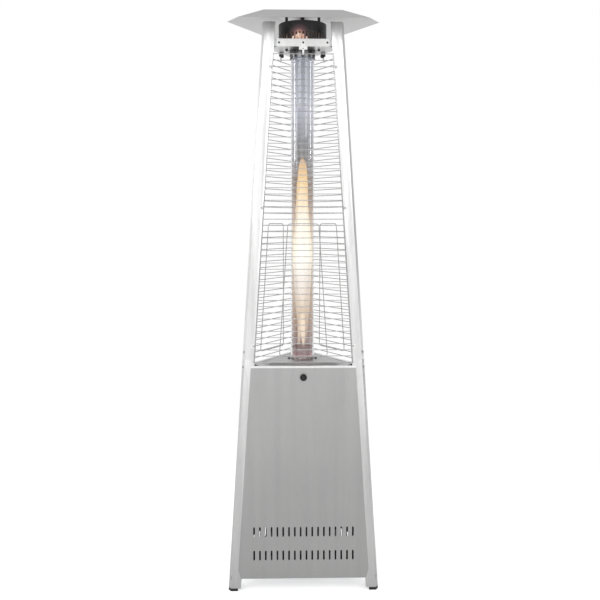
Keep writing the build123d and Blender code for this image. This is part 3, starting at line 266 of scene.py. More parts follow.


# Side panels and door. Three trapezoids of thin stainless sheet, brushed upwards, with punched vents
# and a folded lip. Two are held by welded studs, the third swings on hinges.
panel_colour = (0.96, 0.96, 0.95)
panel_dark = (0.77, 0.77, 0.77)
# Painted shade and highlight: the sheet is darkened to about half the posts' level and more towards the floor,
# and its folded top lip is painted bright.
panel_painted_shade_and_highlight = [(0.05, 0.32), (0.3, 0.378), (0.6, 0.455), (0.9215, 0.525), (0.9222, 1.0), (0.93, 1.0)]
panel_steel = brushed_steel("panel_steel", panel_colour, panel_dark, rough=(0.36, 0.5), bands=28.0,
                            painted_shade_by_height=panel_painted_shade_and_highlight)
wear(panel_steel, "front_panel", "left_panel", "door")


# Base tray, brackets, sleeves, bolts and hinges. Pressed and bent steel parts, zinc plated, so they
# are duller and a little blue beside the stainless sheet, with the faint crystals of the plating.
zinc_light = (0.5, 0.51, 0.52)
zinc_dark = (0.33, 0.34, 0.36)
zinc_crystals = 60.0
zinc_clouds = 180.0


def cells_group():
    """Small cells side by side, such as the crystals of zinc or the threads of a braid."""
    group, ends, out = node_tree_group("cells", {"Cells": 60.0}, ("Height",))
    cells = group.nodes.new("ShaderNodeTexVoronoi")
    group.links.new(object_place(group), cells.inputs["Vector"])
    group.links.new(ends.outputs["Cells"], cells.inputs["Scale"])
    group.links.new(cells.outputs["Distance"], out.inputs["Height"])
    return group


cell_pattern = cells_group()


def grain_group():
    """Skin of a cast, moulded, painted or drawn surface: a fine grain and slow clouds."""
    values = {"Grain": 900.0, "Grain Detail": 2.0, "Clouds": 30.0, "Clouds Detail": 2.0}
    group, ends, out = node_tree_group("surface_grain", values, ("Grain", "Clouds"))
    place = object_place(group)
    for layer in ("Grain", "Clouds"):
        texture = noise_at(group, place, ends.outputs[layer], ends.outputs[f"{layer} Detail"])
        group.links.new(texture, out.inputs[layer])
    return group


surface_grain = grain_group()

zinc, zinc_tree, zinc_shader = new_material("zinc_plate", Metallic=1.0)
crystals = grouped(zinc_tree, cell_pattern, Cells=zinc_crystals)["Height"]
plating = grouped(zinc_tree, surface_grain, Clouds=zinc_clouds, Clouds_Detail=4.0)["Clouds"]
zinc_tone = math_node(zinc_tree, "ADD", math_node(zinc_tree, "MULTIPLY", crystals, 0.6),
                      math_node(zinc_tree, "MULTIPLY", plating, 0.6))
zinc_tree.links.new(ramp(zinc_tree, zinc_tone, zinc_dark, zinc_light), zinc_shader.inputs["Base Color"])
zinc_tree.links.new(ramp(zinc_tree, plating, 0.34, 0.52), zinc_shader.inputs["Roughness"])
bump(zinc_tree, zinc_shader, plating, 0.00004, 0.3)
wear(zinc, "base_tray", "angle_brackets", "joining_sleeves", "post_bolts", "panel_nuts", "valve_bracket",
     "hinge_leaves_post", "hinge_leaves_door", "hinge_pins", "door_strike", "reflector_rods",
     "knob_stem", "guard_screws")


# Feet, door pull, magnet case and tilt switch. Black plastic with the fine grain of its mould, the
# feet pushed up into the posts, the others screwed or clipped on.
plastic_black = (0.009, 0.009, 0.0095)
plastic_worn = (0.022, 0.022, 0.023)
wear_patches = 150.0


def edge_wear_group():
    """Mask of the edges that handling has rubbed: 1 on a worn edge, 0 on a flat face."""
    group, ends, out = node_tree_group("edge_wear", {"Reach": 0.001, "Amount": 3.0}, ("Worn",))
    softened = group.nodes.new("ShaderNodeBevel")
    softened.samples = 4
    group.links.new(ends.outputs["Reach"], softened.inputs["Radius"])
    agreement = group.nodes.new("ShaderNodeVectorMath")
    agreement.operation = "DOT_PRODUCT"
    group.links.new(softened.outputs[0], agreement.inputs[0])
    group.links.new(group.nodes.new("ShaderNodeNewGeometry").outputs["Normal"], agreement.inputs[1])
    patchy = noise_at(group, object_place(group), wear_patches)
    edge = math_node(group, "MULTIPLY", math_node(group, "SUBTRACT", 1.0, agreement.outputs["Value"]),
                     ends.outputs["Amount"])
    worn = math_node(group, "MULTIPLY", edge, math_node(group, "ADD", patchy, 0.3))
    group.links.new(math_node(group, "MINIMUM", math_node(group, "MAXIMUM", worn, 0.0), 1.0), out.inputs["Worn"])
    return group


edge_wear = edge_wear_group()


def rub_edges(tree, shader, colour, reach=0.001, amount=3.0):
    """Let another colour show where the edges of a finish are rubbed."""
    recolour(tree, shader, grouped(tree, edge_wear, Reach=reach, Amount=amount)["Worn"], colour)


def grained(name, dark, light, rough, grain, clouds=None, spread=(0.3, 0.7), relief=None, **constants):
    """A finish whose gloss and relief follow its grain, and its colour the grain or slow clouds.

    Grain and clouds are each a fineness and a detail, relief a depth in metres and a strength."""
    made, tree, shader = new_material(name, **constants)
    values = {"Grain": grain[0], "Grain Detail": grain[1]}
    if clouds:
        values.update({"Clouds": clouds[0], "Clouds Detail": clouds[1]})
    skin = grouped(tree, surface_grain, **values)
    tree.links.new(ramp(tree, skin["Clouds" if clouds else "Grain"], dark, light, *spread),
                   shader.inputs["Base Color"])
    tree.links.new(ramp(tree, skin["Grain"], *rough), shader.inputs["Roughness"])
    if relief:
        bump(tree, shader, skin["Grain"], *relief)
    return made, tree, shader, skin


def moulded(name, dark, light, grain=900.0):
    """Moulded plastic with a fine grain, paler where its edges are rubbed."""
    made, tree, shader = grained(
        name, dark, light, rough=(0.42, 0.6), grain=(grain, 3.0), clouds=(grain / 30, 2.0), spread=(0.35, 0.75),
        relief=(0.00006, 0.5), Metallic=0.0, IOR=1.4)[:3]
    rub_edges(tree, shader, [min(part * 1.6 + 0.02, 1.0) for part in light], amount=2.0)
    return made


black_plastic = moulded("black_plastic", plastic_black, plastic_worn)
rounded("foot_pads", 0.0012, black_plastic)
rounded("door_pull", 0.0015, black_plastic, body="door", segments=3)
rounded("door_magnet", 0.0008, black_plastic)
rounded("tilt_switch", 0.0008, black_plastic)


# Deck. A pressed stainless sheet between the posts, raised in the middle round the glass tube's foot,
# and held down on the burner plate by two black enamelled screws.
deck_steel = brushed_steel("deck_steel", (0.55, 0.55, 0.545), (0.44, 0.44, 0.44))
wear(deck_steel, "deck")
enamel_black = (0.018, 0.018, 0.02)
enamel_grey = (0.045, 0.042, 0.045)
enamel_rubbed = (0.2, 0.18, 0.17)


def enamelled(name, dark, light, scale=260.0):
    """Matt heat-proof enamel, slightly uneven, and greyer where it has been hot or rubbed."""
    made, tree, shader = grained(
        name, dark, light, rough=(0.38, 0.55), grain=(scale, 5.0), clouds=(scale / 20, 2.0),
        relief=(0.00008, 0.4), Metallic=0.0, IOR=1.5)[:3]
    rub_edges(tree, shader, enamel_rubbed, 0.0009, 2.2)
    return made, tree, shader


black_enamel = enamelled("black_enamel", enamel_black, enamel_grey)[0]
rounded("deck_screws", 0.0008, black_enamel, segments=3)


# Burner. A steel plate under the deck carries the bead-rolled shroud, the burner head and the mixing
# tube. Heat has browned them, and the ring of ports in the shroud glows dull red.
heated_light = (0.8, 0.68, 0.67)
heated_dark = (0.48, 0.38, 0.375)
port_low = 0.951
port_high = 0.9605
port_glow = (0.28, 0.05, 0.045)
port_strength = 0.6


def heated_steel(name):
    """Steel browned by heat in soft clouds."""
    return grained(name, heated_dark, heated_light, rough=(0.5, 0.32), grain=(35.0, 5.0),
                   relief=(0.0001, 0.3), Metallic=1.0)[:3]


wear(heated_steel("browned_steel")[0], "burner_plate", "burner_head", "mixing_tube", "pilot_burner",
     "thermocouple")
shroud_steel, shroud_tree, shroud_shader = heated_steel("shroud_steel")
shroud_height = split_place(shroud_tree, object_place(shroud_tree))["Z"]
inside = math_node(shroud_tree, "MULTIPLY", math_node(shroud_tree, "GREATER_THAN", shroud_height, port_low),
                   math_node(shroud_tree, "LESS_THAN", shroud_height, port_high))
shroud_tree.links.new(ramp(shroud_tree, inside, (0.0, 0.0, 0.0), port_glow, 0.0, 1.0),
                      shroud_shader.inputs["Emission Color"])
shroud_shader.inputs["Emission Strength"].default_value = port_strength
wear(shroud_steel, "burner_shroud")


# Igniter. A glazed ceramic sleeve with a wire electrode, fed by a thin white high-voltage lead, and
# clamped beside the burner head.
ceramic_dark = (0.66, 0.62, 0.55)
ceramic_light = (0.82, 0.8, 0.75)
ceramic, ceramic_tree, ceramic_shader = new_material("glazed_ceramic", Metallic=0.0, Coat_Weight=0.6,
                                                     Coat_Roughness=0.08, IOR=1.5)
speckle = ceramic_tree.nodes.new("ShaderNodeTexNoise")
speckle.inputs["Scale"].default_value = 400.0
ceramic_tree.links.new(ramp(ceramic_tree, speckle.outputs["Fac"], ceramic_dark, ceramic_light),
                       ceramic_shader.inputs["Base Color"])
ceramic_tree.links.new(ramp(ceramic_tree, speckle.outputs["Fac"], 0.25, 0.4), ceramic_shader.inputs["Roughness"])
wear(ceramic, "igniter")


# Gas valve, regulator, pipes and their fittings. Die-cast bodies with the pebbled skin of the die,
# turned brass for the jet holder, the cylinder valve and the turning plug, and drawn steel pipe.
def cast_metal(name, light, dark, scale=500.0):
    """Bare metal with the pebbled skin that its die or its tool left."""
    return grained(name, dark, light, rough=(0.55, 0.38), grain=(scale, 4.0), relief=(0.00015, 0.4),
                   Metallic=1.0)[0]


die_cast = cast_metal("die_cast", (0.6, 0.61, 0.62), (0.4, 0.41, 0.42))
turned_brass = cast_metal("turned_brass", (0.72, 0.53, 0.24), (0.5, 0.34, 0.13), scale=900.0)
rounded("gas_valve", 0.0012, die_cast)
rounded("regulator", 0.0012, die_cast)
rounded("cylinder_valve", 0.0008, turned_brass)
rounded("jet_holder", 0.0008, turned_brass)
wear(turned_brass, "valve_plug")
drawn_pipe = cast_metal("drawn_pipe", (0.68, 0.68, 0.68), (0.55, 0.55, 0.55), scale=1200.0)
wear(drawn_pipe, "main_pipe", "pilot_pipe")


# Control knob. A moulded black knob: a knurled skirt, a raised ring and a fluted grip with a pointer
# rib, pushed on the valve's stem. It is turned, and pushed in while the pilot is lit.
knob_centre = Vector((0.0, -0.1510641, 0.883))
knob_out = Vector((0.0, -0.999305, 0.037274))
knob_profile = [(0.0032, -0.004), (0.0055, -0.004), (0.0055, 0.0074), (0.0134, 0.0076), (0.0139, 0.0082),
                (0.0139, 0.0107), (0.0134, 0.0114), (0.0118, 0.0115), (0.0113, 0.0121), (0.0102, 0.0121),
                (0.0097, 0.0116), (0.0087, 0.0117), (0.0083, 0.0125), (0.0078, 0.0216), (0.0070, 0.0229),
                (0.0055, 0.0234), (0.0, 0.0235)]
knob_steps = 144
skirt_inner = 0.0125
skirt_ribs = 36
skirt_groove = 0.0004
grip_inner = 0.0075
grip_outer = 0.0084
grip_foot = 0.012
grip_flutes = 6
flute_depth = 0.05
rib_centre = (0, 0.0038, 0.0236)
rib_size = (0.0011, 0.0062, 0.0006)
rib_edge_radius = 0.0002


def finished_mesh(name, form):
    """A mesh from a form that is done with."""
    data = bpy.data.meshes.new(name)
    form.to_mesh(data)
    form.free()
    return data


def turned_mesh(name, profile, steps, shape=None):
    """A mesh turned from points of radius and height, which shape may push in or out."""
    form = bmesh.new()
    rows = []
    for radius, height in profile:
        row = []
        for i in range(steps if radius > 0 else 1):
            turn = 2 * math.pi * i / steps
            out = shape(radius, height, turn) if shape else radius
            row.append(form.verts.new((out * math.cos(turn), out * math.sin(turn), height)))
        rows.append(row)
    for low, high in zip(rows, rows[1:]):
        for i in range(steps):
            a, b = low[i % len(low)], low[(i + 1) % len(low)]
            c, d = high[(i + 1) % len(high)], high[i % len(high)]
            corners = [corner for k, corner in enumerate((a, b, c, d)) if corner not in (a, b, c, d)[:k]]
            if len(corners) > 2:
                form.faces.new(corners)
    bmesh.ops.recalc_face_normals(form, faces=form.faces)
    return finished_mesh(name, form)


def placed(name, data, material, body="heater", place=None, angle=30):
    """A new piece in its place on a body, with its finish."""
    data.materials.clear()
    data.materials.append(material)
    if place is not None:
        data.transform(place)
    smooth(data, angle)
    piece = bpy.data.objects.new(name, data)
    bpy.context.scene.collection.objects.link(piece)
    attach(piece, body)
    return piece


def facing(centre, direction):
    """Placing that sets a piece made along Z at a point, with its Z along a direction."""
    return Matrix.Translation(centre) @ Vector(direction).to_track_quat("Z", "Y").to_matrix().to_4x4()


def knob_shape(radius, height, turn):
    """Grooves round the skirt and flutes up the grip."""
    if radius > skirt_inner:
        return radius - skirt_groove * (math.cos(turn * skirt_ribs) > 0)
    if grip_inner < radius < grip_outer and height > grip_foot:
        return radius * (1 - flute_depth * abs(math.sin(turn * grip_flutes)))
    return radius


knob_place = facing(knob_centre, knob_out)
knob = placed("knob_moulding", turned_mesh("knob_moulding", knob_profile, knob_steps, knob_shape),
              black_plastic, "knob", knob_place)
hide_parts("control_knob")
form = bmesh.new()
bmesh.ops.create_cube(form, size=1.0,
                      matrix=Matrix.Translation(rib_centre) @ Matrix.Diagonal((*rib_size, 1)))
bmesh.ops.bevel(form, geom=form.edges[:], offset=rib_edge_radius, segments=2, profile=0.5, affect="EDGES")
placed("knob_pointer", finished_mesh("knob_pointer", form), black_plastic, "knob", knob_place)


# Gas hose and its crimped ends. The hose is black rubber with the weave of its braid showing through,
# held at the regulator and at the valve by pressed steel ferrules with three crimps each.
hose_ends = [(Vector((0.04270, 0.09405, 0.432)), Vector((-0.5, 0.866, 0.0)), -0.014, 0.018),
             (Vector((-0.0291, -0.11109, 0.88151)), Vector((-1.0, 0.0, 0.0)), 0.0004, 0.02)]
hose_black = (0.02, 0.02, 0.02)
hose_dusty = (0.06, 0.058, 0.055)
ferrule_bore = 0.0066
ferrule_radius = 0.0084
ferrule_waist = 0.0076
ferrule_chamfer = 0.0008
ferrule_steps = 40
crimps = 3
hose_rubber, hose_tree, hose_shader = new_material("hose_rubber", Metallic=0.0, IOR=1.5)
braid = grouped(hose_tree, cell_pattern, Cells=420.0)["Height"]
dust = grouped(hose_tree, surface_grain, Clouds=30.0)["Clouds"]
hose_tree.links.new(ramp(hose_tree, dust, hose_black, hose_dusty), hose_shader.inputs["Base Color"])
hose_tree.links.new(ramp(hose_tree, braid, 0.5, 0.7), hose_shader.inputs["Roughness"])
bump(hose_tree, hose_shader, braid, 0.0003, 0.4)
wear(hose_rubber, "gas_hose")
for number, (end, along, start, stop) in enumerate(hose_ends, 1):
    length = stop - start
    outline = [(ferrule_bore, start), (ferrule_radius, start)]
    for i in range(crimps):
        low = start + length * (0.15 + 0.25 * i)
        outline += [(ferrule_radius, low), (ferrule_waist, low + length * 0.05),
                    (ferrule_waist, low + length * 0.12), (ferrule_radius, low + length * 0.17)]
    outline += [(ferrule_radius, stop - ferrule_chamfer), (ferrule_radius - ferrule_chamfer, stop),
                (ferrule_bore, stop)]
    placed(f"hose_ferrule_{number}", turned_mesh("ferrule", outline, ferrule_steps), zinc,
           place=facing(end, along))


# Gas cylinder. Two drawn steel halves welded round the middle, with a welded foot ring and a guard
# collar whose edges are rolled. The paint is semi-gloss, scuffed where the cylinder is handled.
cylinder_radius = 0.15
weld_height = 0.24
paint_light = (0.12, 0.13, 0.14)
paint_dark = (0.08, 0.088, 0.095)
paint_scuffed = (0.2, 0.19, 0.185)
paint_rubbed = (0.34, 0.33, 0.32)
bead_shape = [(-0.0004, -0.005), (0.0012, -0.0035), (0.0019, 0.0), (0.0012, 0.0035), (-0.0004, 0.005)]
bead_steps = 720
bead_ripples = 180
ripple_depth = 0.0002
cylinder_paint, paint_tree, paint_shader, paint_skin = grained(
    "cylinder_paint", paint_dark, paint_light, rough=(0.3, 0.42), grain=(350.0, 2.0), clouds=(14.0, 8.0),
    relief=(0.00015, 0.35), Metallic=0.0, IOR=1.5, Coat_Weight=0.3, Coat_Roughness=0.2)
recolour(paint_tree, paint_shader, ramp(paint_tree, paint_skin["Clouds"], 0.0, 1.0, 0.66, 0.7), paint_scuffed)
rub_edges(paint_tree, paint_shader, paint_rubbed, 0.0015, 3.0)
wear(cylinder_paint, "gas_cylinder")


def weld_ripple(radius, height, turn):
    """The small waves of a weld run."""
    return radius + ripple_depth * math.sin(turn * bead_ripples) if radius > cylinder_radius else radius


bead = [(cylinder_radius + out, weld_height + up) for out, up in bead_shape]
placed("cylinder_weld", turned_mesh("cylinder_weld", bead, bead_steps, weld_ripple), cylinder_paint)


# Handwheel of the cylinder's valve. A lobed wheel moulded in red plastic on the valve's spindle,
# turned by hand to open the gas.
red_plastic = moulded("red_plastic", (0.32, 0.018, 0.014), (0.44, 0.035, 0.025))
rounded("handwheel", 0.0018, red_plastic, body="handwheel", segments=3)


# Glass tube. A drawn quartz tube with fire-polished ends, standing on its gasket over the burner. Soot
# and heat have left it with a faint violet haze.
glass_hazed = (0.95, 0.955, 0.975)
glass_clear = (0.97, 0.975, 0.99)
glass = grained("quartz_glass", glass_hazed, glass_clear, rough=(0.0, 0.03), grain=(9.0, 4.0), Metallic=0.0,
                IOR=1.46, Transmission_Weight=1.0)[0]
wear(glass, "glass_tube")


# Tube gaskets. Two rings cut from woven glass-fibre cord, one under the tube and one round its top in
# the collar, which let the glass grow and shrink.
fibre_dark = (0.2, 0.19, 0.18)
fibre_light = (0.4, 0.39, 0.36)
fibre, fibre_tree, fibre_shader = new_material("glass_fibre", Metallic=0.0, Sheen_Weight=0.3)
strands = grouped(fibre_tree, cell_pattern, Cells=900.0)["Height"]
fibre_tree.links.new(ramp(fibre_tree, strands, fibre_dark, fibre_light), fibre_shader.inputs["Base Color"])
fibre_tree.links.new(ramp(fibre_tree, strands, 0.8, 0.95), fibre_shader.inputs["Roughness"])
bump(fibre_tree, fibre_shader, strands, 0.0004, 0.6)
wear(fibre, "tube_gaskets")


# Flame. Burning gas in the tube: a glowing haze that fills the bore and turns at the top into a grey glow,
# a painted sheen standing for the glass and the post seen through it, a broad tongue with an orange tip, a
# yellow-white core, and two small licks at its foot.
haze_radius = 0.0436
haze_low = 0.9415
haze_top = 2.1965
haze_rows = 60
haze_sides = 64
# Above the flame's tip, from about 1.75 m, the haze's grey-violet colours are a painted sheen of the glass, not
# light of the gas.
haze_glow_and_painted_sheen = [
    (0.94, (0.24, 0.15, 0.15), 0.34), (0.99, (0.22, 0.14, 0.13), 0.5), (1.03, (0.25, 0.15, 0.11), 0.66),
    (1.1, (0.36, 0.23, 0.15), 0.68), (1.17, (0.46, 0.32, 0.21), 0.68), (1.28, (0.6, 0.46, 0.32), 0.64),
    (1.38, (0.87, 0.76, 0.54), 0.64), (1.47, (0.76, 0.59, 0.4), 0.64), (1.54, (0.5, 0.34, 0.23), 0.6),
    (1.61, (0.3, 0.19, 0.12), 0.58), (1.68, (0.2, 0.13, 0.08), 0.54), (1.75, (0.19, 0.17, 0.16), 0.5),
    (1.83, (0.2, 0.2, 0.21), 0.5), (1.95, (0.46, 0.47, 0.54), 0.55), (2.2, (0.24, 0.26, 0.31), 0.55)]
tongue_colour = [(0.985, (0.7, 0.5, 0.42)), (1.05, (1.3, 1.05, 0.8)), (1.12, (1.5, 1.28, 1.0)),
                 (1.25, (1.45, 1.42, 1.4)), (1.5, (1.6, 1.6, 1.35)), (1.6, (1.8, 1.45, 0.9)),
                 (1.68, (1.9, 1.35, 0.7)), (1.77, (1.8, 1.1, 0.5))]
core_colour = [(1.0, (2.1, 1.8, 1.4)), (1.15, (2.6, 2.4, 1.9)), (1.3, (2.2, 2.3, 2.5)),
               (1.5, (2.3, 2.4, 2.4)), (1.66, (2.0, 1.7, 1.1))]
# Each tongue: its foot's place, colours, cover, seed, and half width in mm at heights in metres.
tongues = [
    ("flame_tongue", (0.0, -0.002), tongue_colour, 0.72, 1.0,
     [(0.985, 8), (1.0, 15), (1.05, 21), (1.1, 25), (1.15, 28), (1.2, 31), (1.27, 35), (1.35, 39), (1.42, 38),
      (1.48, 32), (1.54, 27), (1.6, 24), (1.65, 23), (1.7, 21), (1.735, 17), (1.757, 11), (1.772, 1)]),
    ("flame_core", (-0.001, -0.006), core_colour, 0.85, 2.0,
     [(1.14, 1), (1.18, 8), (1.23, 16), (1.3, 24), (1.38, 28), (1.45, 25), (1.52, 20), (1.6, 15), (1.66, 9),
      (1.71, 1)]),
    ("flame_lick_left", (-0.017, -0.004), core_colour, 0.5, 3.0,
     [(0.99, 1), (1.0, 4), (1.03, 6), (1.07, 6), (1.1, 5), (1.13, 0.8)]),
    ("flame_lick_middle", (0.004, -0.006), core_colour, 0.85, 4.0,
     [(0.99, 1), (1.0, 4.5), (1.04, 8), (1.08, 9), (1.12, 7), (1.138, 0.8)]),
]
tongue_rows = 96
tongue_steps = 48
tongue_limit = 0.0425
# Each wave: how it changes round a tongue, up it and with its seed, and how deep it is.
slow_wave = (0.9, 13, 2.3, 0.12)
quick_wave = (2.6, 34, 5.1, 0.07)
sway_reach = 0.003
lean_back = 0.6
tip_length = 0.06


def streaks_group():
    """Upright streaks that tear through burning gas, stretched along its rise."""
    group, ends, out = node_tree_group(
        "torn_streaks", {"Across": 60.0, "Along": 5.0, "Seed": 0.0}, ("Streaks",))
    split = split_place(group, object_place(group))
    joined = group.nodes.new("ShaderNodeCombineXYZ")
    for axis, stretch in (("X", "Across"), ("Y", "Across"), ("Z", "Along")):
        stretched = math_node(group, "MULTIPLY", split[axis], ends.outputs[stretch])
        group.links.new(math_node(group, "ADD", stretched, ends.outputs["Seed"]), joined.inputs[axis])
    group.links.new(noise_at(group, joined.outputs[0], 1.0, 3.0), out.inputs["Streaks"])
    return group


torn_streaks = streaks_group()


def glowing(name, colours, covers, across=60.0, along=5.0, thinnest=0.75, seed=0.0):
    """Burning gas: light by height, with a cover that is torn into upright streaks."""
    made, tree, shader = new_material(name, Metallic=0.0, Roughness=1.0, Specular_IOR_Level=0.0,
                                      Emission_Strength=1.0)
    shader.inputs["Base Color"].default_value = (0.0, 0.0, 0.0, 1.0)
    tree.links.new(by_height(tree, colours), shader.inputs["Emission Color"])
    streaks = grouped(tree, torn_streaks, Across=across, Along=along, Seed=seed)["Streaks"]
    cover = blended(tree, 1.0, ramp(tree, streaks, thinnest, 1.0, 0.35, 0.6), by_height(tree, covers),
                    "MULTIPLY")
    tree.links.new(cover, shader.inputs["Alpha"])
    made.surface_render_method = "BLENDED"
    return made


def profile_width(profile, height):
    """Width between the points of a profile, eased from one to the next."""
    for (low, first), (high, second) in zip(profile, profile[1:]):
        if height <= high:
            share = (height - low) / (high - low)
            share = share * share * (3 - 2 * share)
            return first + (second - first) * max(share, 0.0)
    return profile[-1][1]


def wave(around, height, seed, scale, rise, shift, depth):
    """Slow or quick swelling of a tongue of flame."""
    return depth * noise.noise(Vector((around.x * scale, around.y * scale, height * rise + seed * shift)))


haze_ring = [(haze_radius, haze_low + (haze_top - haze_low) * i / haze_rows) for i in range(haze_rows + 1)]
haze_glow_and_sheen = glowing("flame_glow_and_painted_sheen", [stop[:2] for stop in haze_glow_and_painted_sheen], [stop[::2] for stop in haze_glow_and_painted_sheen],
                   thinnest=0.86)
haze_skin = placed("flame_glow_and_painted_sheen", turned_mesh("flame_glow_and_painted_sheen", haze_ring, haze_sides), haze_glow_and_sheen,
                   angle=180)
haze_skin.visible_shadow = False
for name, (across, back), colours, cover, seed, profile in tongues:
    form = bmesh.new()
    rows = []
    low, top = profile[0][0], profile[-1][0]
    for j in range(tongue_rows + 1):
        level = j / tongue_rows
        height = low + (top - low) * level
        row = []
        for i in range(tongue_steps):
            turn = 2 * math.pi * i / tongue_steps
            way = Vector((math.cos(turn), math.sin(turn), 0.0))
            swell = 1 + wave(way, height, seed, *slow_wave) + wave(way, height, seed, *quick_wave)
            reach = profile_width(profile, height) / 1000 * swell
            sway = noise.noise(Vector((height * 6, seed, 0)))
            at = Vector((across * (1 - level * lean_back) + sway_reach * sway, back, 0)) + way * reach
            if at.length > tongue_limit:
                at = at.normalized() * tongue_limit
            row.append(form.verts.new(at + Vector((0, 0, height))))
        rows.append(row)
    for first, second in zip(rows, rows[1:]):
        for i in range(tongue_steps):
            k = (i + 1) % tongue_steps
            form.faces.new((first[i], first[k], second[k], second[i]))
    # thin at the foot, full from a third of the way up, and half gone at the tip
    covers = [(low, 0.1), (low + (top - low) * 0.06, cover * 0.5), (low + (top - low) * 0.3, cover),
              (top - tip_length, cover), (top, cover * 0.45)]
    gas = glowing(f"{name}_gas", colours, covers, across=38.0, along=9.0, thinnest=0.72, seed=seed)
    skin = placed(name, finished_mesh(name, form), gas, angle=180)
    skin.visible_shadow = False


# Guards. Each is a welded grille of bright wires between two upright rods, with one long loop behind
# that stiffens it and stamped tabs at its edges. Every wire ends in a small weld on its rod.
face_slope = 0.0373
face_lean = math.atan(face_slope)
face_inradius = 0.184
guard_inset = 0.059
wire_low = 0.945
wire_pitch = 0.025
wire_count = 50
wire_out = 0.00235
wire_dark = (0.36, 0.36, 0.37)
wire_light = (0.55, 0.55, 0.55)
weld_radius = 0.0026
weld_inset = 0.0014
weld_lumps = 400.0
weld_unevenness = 0.0005
weld_seed = 5
rod_lean = 0.07376
rod_reach = 0.24816 + rod_lean * wire_low + 0.004
tab_colour = (0.93, 0.93, 0.925)
wire_steel, wire_tree, wire_shader = grained(
    "bright_wire", wire_dark, wire_light, rough=(0.16, 0.3), grain=(160.0, 3.0), relief=(0.00003, 0.3),
    Metallic=1.0)[:3]
wire_at = split_place(wire_tree, object_place(wire_tree))
wire_reach = math_node(wire_tree, "SQRT", math_node(
    wire_tree, "ADD", math_node(wire_tree, "POWER", wire_at["X"], 2.0),
    math_node(wire_tree, "POWER", wire_at["Y"], 2.0)))
past_rod = math_node(wire_tree, "GREATER_THAN", math_node(
    wire_tree, "ADD", wire_reach, math_node(wire_tree, "MULTIPLY", wire_at["Z"], rod_lean)), rod_reach)
recolour(wire_tree, wire_shader, past_rod, tab_colour)
wear(wire_steel, "guard_front", "guard_left", "guard_right")


def face_point(x, height, out, side_turn):
    """Point given on the front face by its height and its distance out of the face, turned to a side."""
    up = Vector((0, math.sin(face_lean), math.cos(face_lean)))
    normal = Vector((0, -math.cos(face_lean), math.sin(face_lean)))
    at = Vector((x, -face_inradius, 0)) + up * (height / math.cos(face_lean)) + normal * out
    return Matrix.Rotation(math.radians(side_turn), 4, "Z") @ at


def guard_half(height):
    """Half the width of a guard between its rods at a height."""
    return (face_inradius - face_slope * height) * math.sqrt(3) - guard_inset


weld_steel = cast_metal("weld_steel", (0.42, 0.42, 0.43), (0.26, 0.26, 0.27), scale=700.0)
# noise_vector follows the clock unless it gets a seed
noise.seed_set(weld_seed)
for side, side_turn in (("front", 0), ("right", 120), ("left", 240)):
    form = bmesh.new()
    for i in range(wire_count):
        height = wire_low + wire_pitch * i
        for sign in (-1, 1):
            at = face_point(sign * (guard_half(height) - weld_inset), height, wire_out, side_turn)
            made = bmesh.ops.create_icosphere(form, subdivisions=1, radius=weld_radius,
                                              matrix=Matrix.Translation(at))
            for vert in made["verts"]:
                vert.co += noise.noise_vector(vert.co * weld_lumps) * weld_unevenness
    placed(f"guard_welds_{side}", finished_mesh(f"guard_welds_{side}", form), weld_steel,
           angle=180)


# Support pan, its screws and the tube's collar. The pan is a pressed stainless triangle with leaning
# flanges, held by blackened screws. The collar under it is spun from heat-darkened steel.
pan_steel = brushed_steel("pan_steel", (0.72, 0.72, 0.71), (0.6, 0.6, 0.6))
wear(pan_steel, "support_pan")
collar_steel = brushed_steel("collar_steel", (0.2, 0.2, 0.205), (0.06, 0.06, 0.062), rough=(0.16, 0.3),
                             across=90.0)
wear(collar_steel, "tube_collar")
blackened = enamelled("blackened_screws", (0.02, 0.02, 0.022), (0.07, 0.066, 0.064), scale=900.0)[0]
wear(blackened, "pan_screws", "rod_nuts")


# Guard clips and thumb screws. A bright stamped clip hooks over each guard's top, and a black screw
# with a moulded head, turned by hand, holds it under the pan.
clip_steel = brushed_steel("clip_steel", (0.88, 0.88, 0.87), (0.7, 0.7, 0.7), rough=(0.22, 0.32))
wear(clip_steel, "guard_clips")
rounded("thumb_screws", 0.0009, black_enamel, segments=3)


# Flame hood and spacers. A drum of slotted steel in black heat-proof enamel, standing on the pan. The
# top of the flame glows behind its slots, and a pool of its light is painted as glow on the drum's front.
# The spacers over it carry the reflector.
hood_black = (0.008, 0.008, 0.009)
hood_grey = (0.024, 0.021, 0.022)
hood_inside = 0.0963
drum_inside_grey = (0.42, 0.38, 0.35)
# Painted light: a pool of flame light, glowing in the enamel round a spot on the drum's front and fading out.
painted_glow_spot = (-0.017, -0.097, 2.246)
painted_glow_fade = [(0.0, (1.0, 0.8, 0.62)), (0.012, (0.4, 0.19, 0.15)), (0.025, (0.08, 0.035, 0.04)),
             (0.045, (0.0, 0.0, 0.0))]
glow_centre = Vector((-0.012, -0.046, 2.243))
glow_size = Vector((0.03, 0.03, 0.017))
glow_deep = (0.55, 0.3, 0.22)
glow_bright = (1.0, 0.88, 0.7)
glow_raggedness = 0.25
wear(black_enamel, "rod_spacers")
hood_enamel, hood_tree, hood_shader = enamelled("hood_enamel", hood_black, hood_grey)
hood_at = object_place(hood_tree)
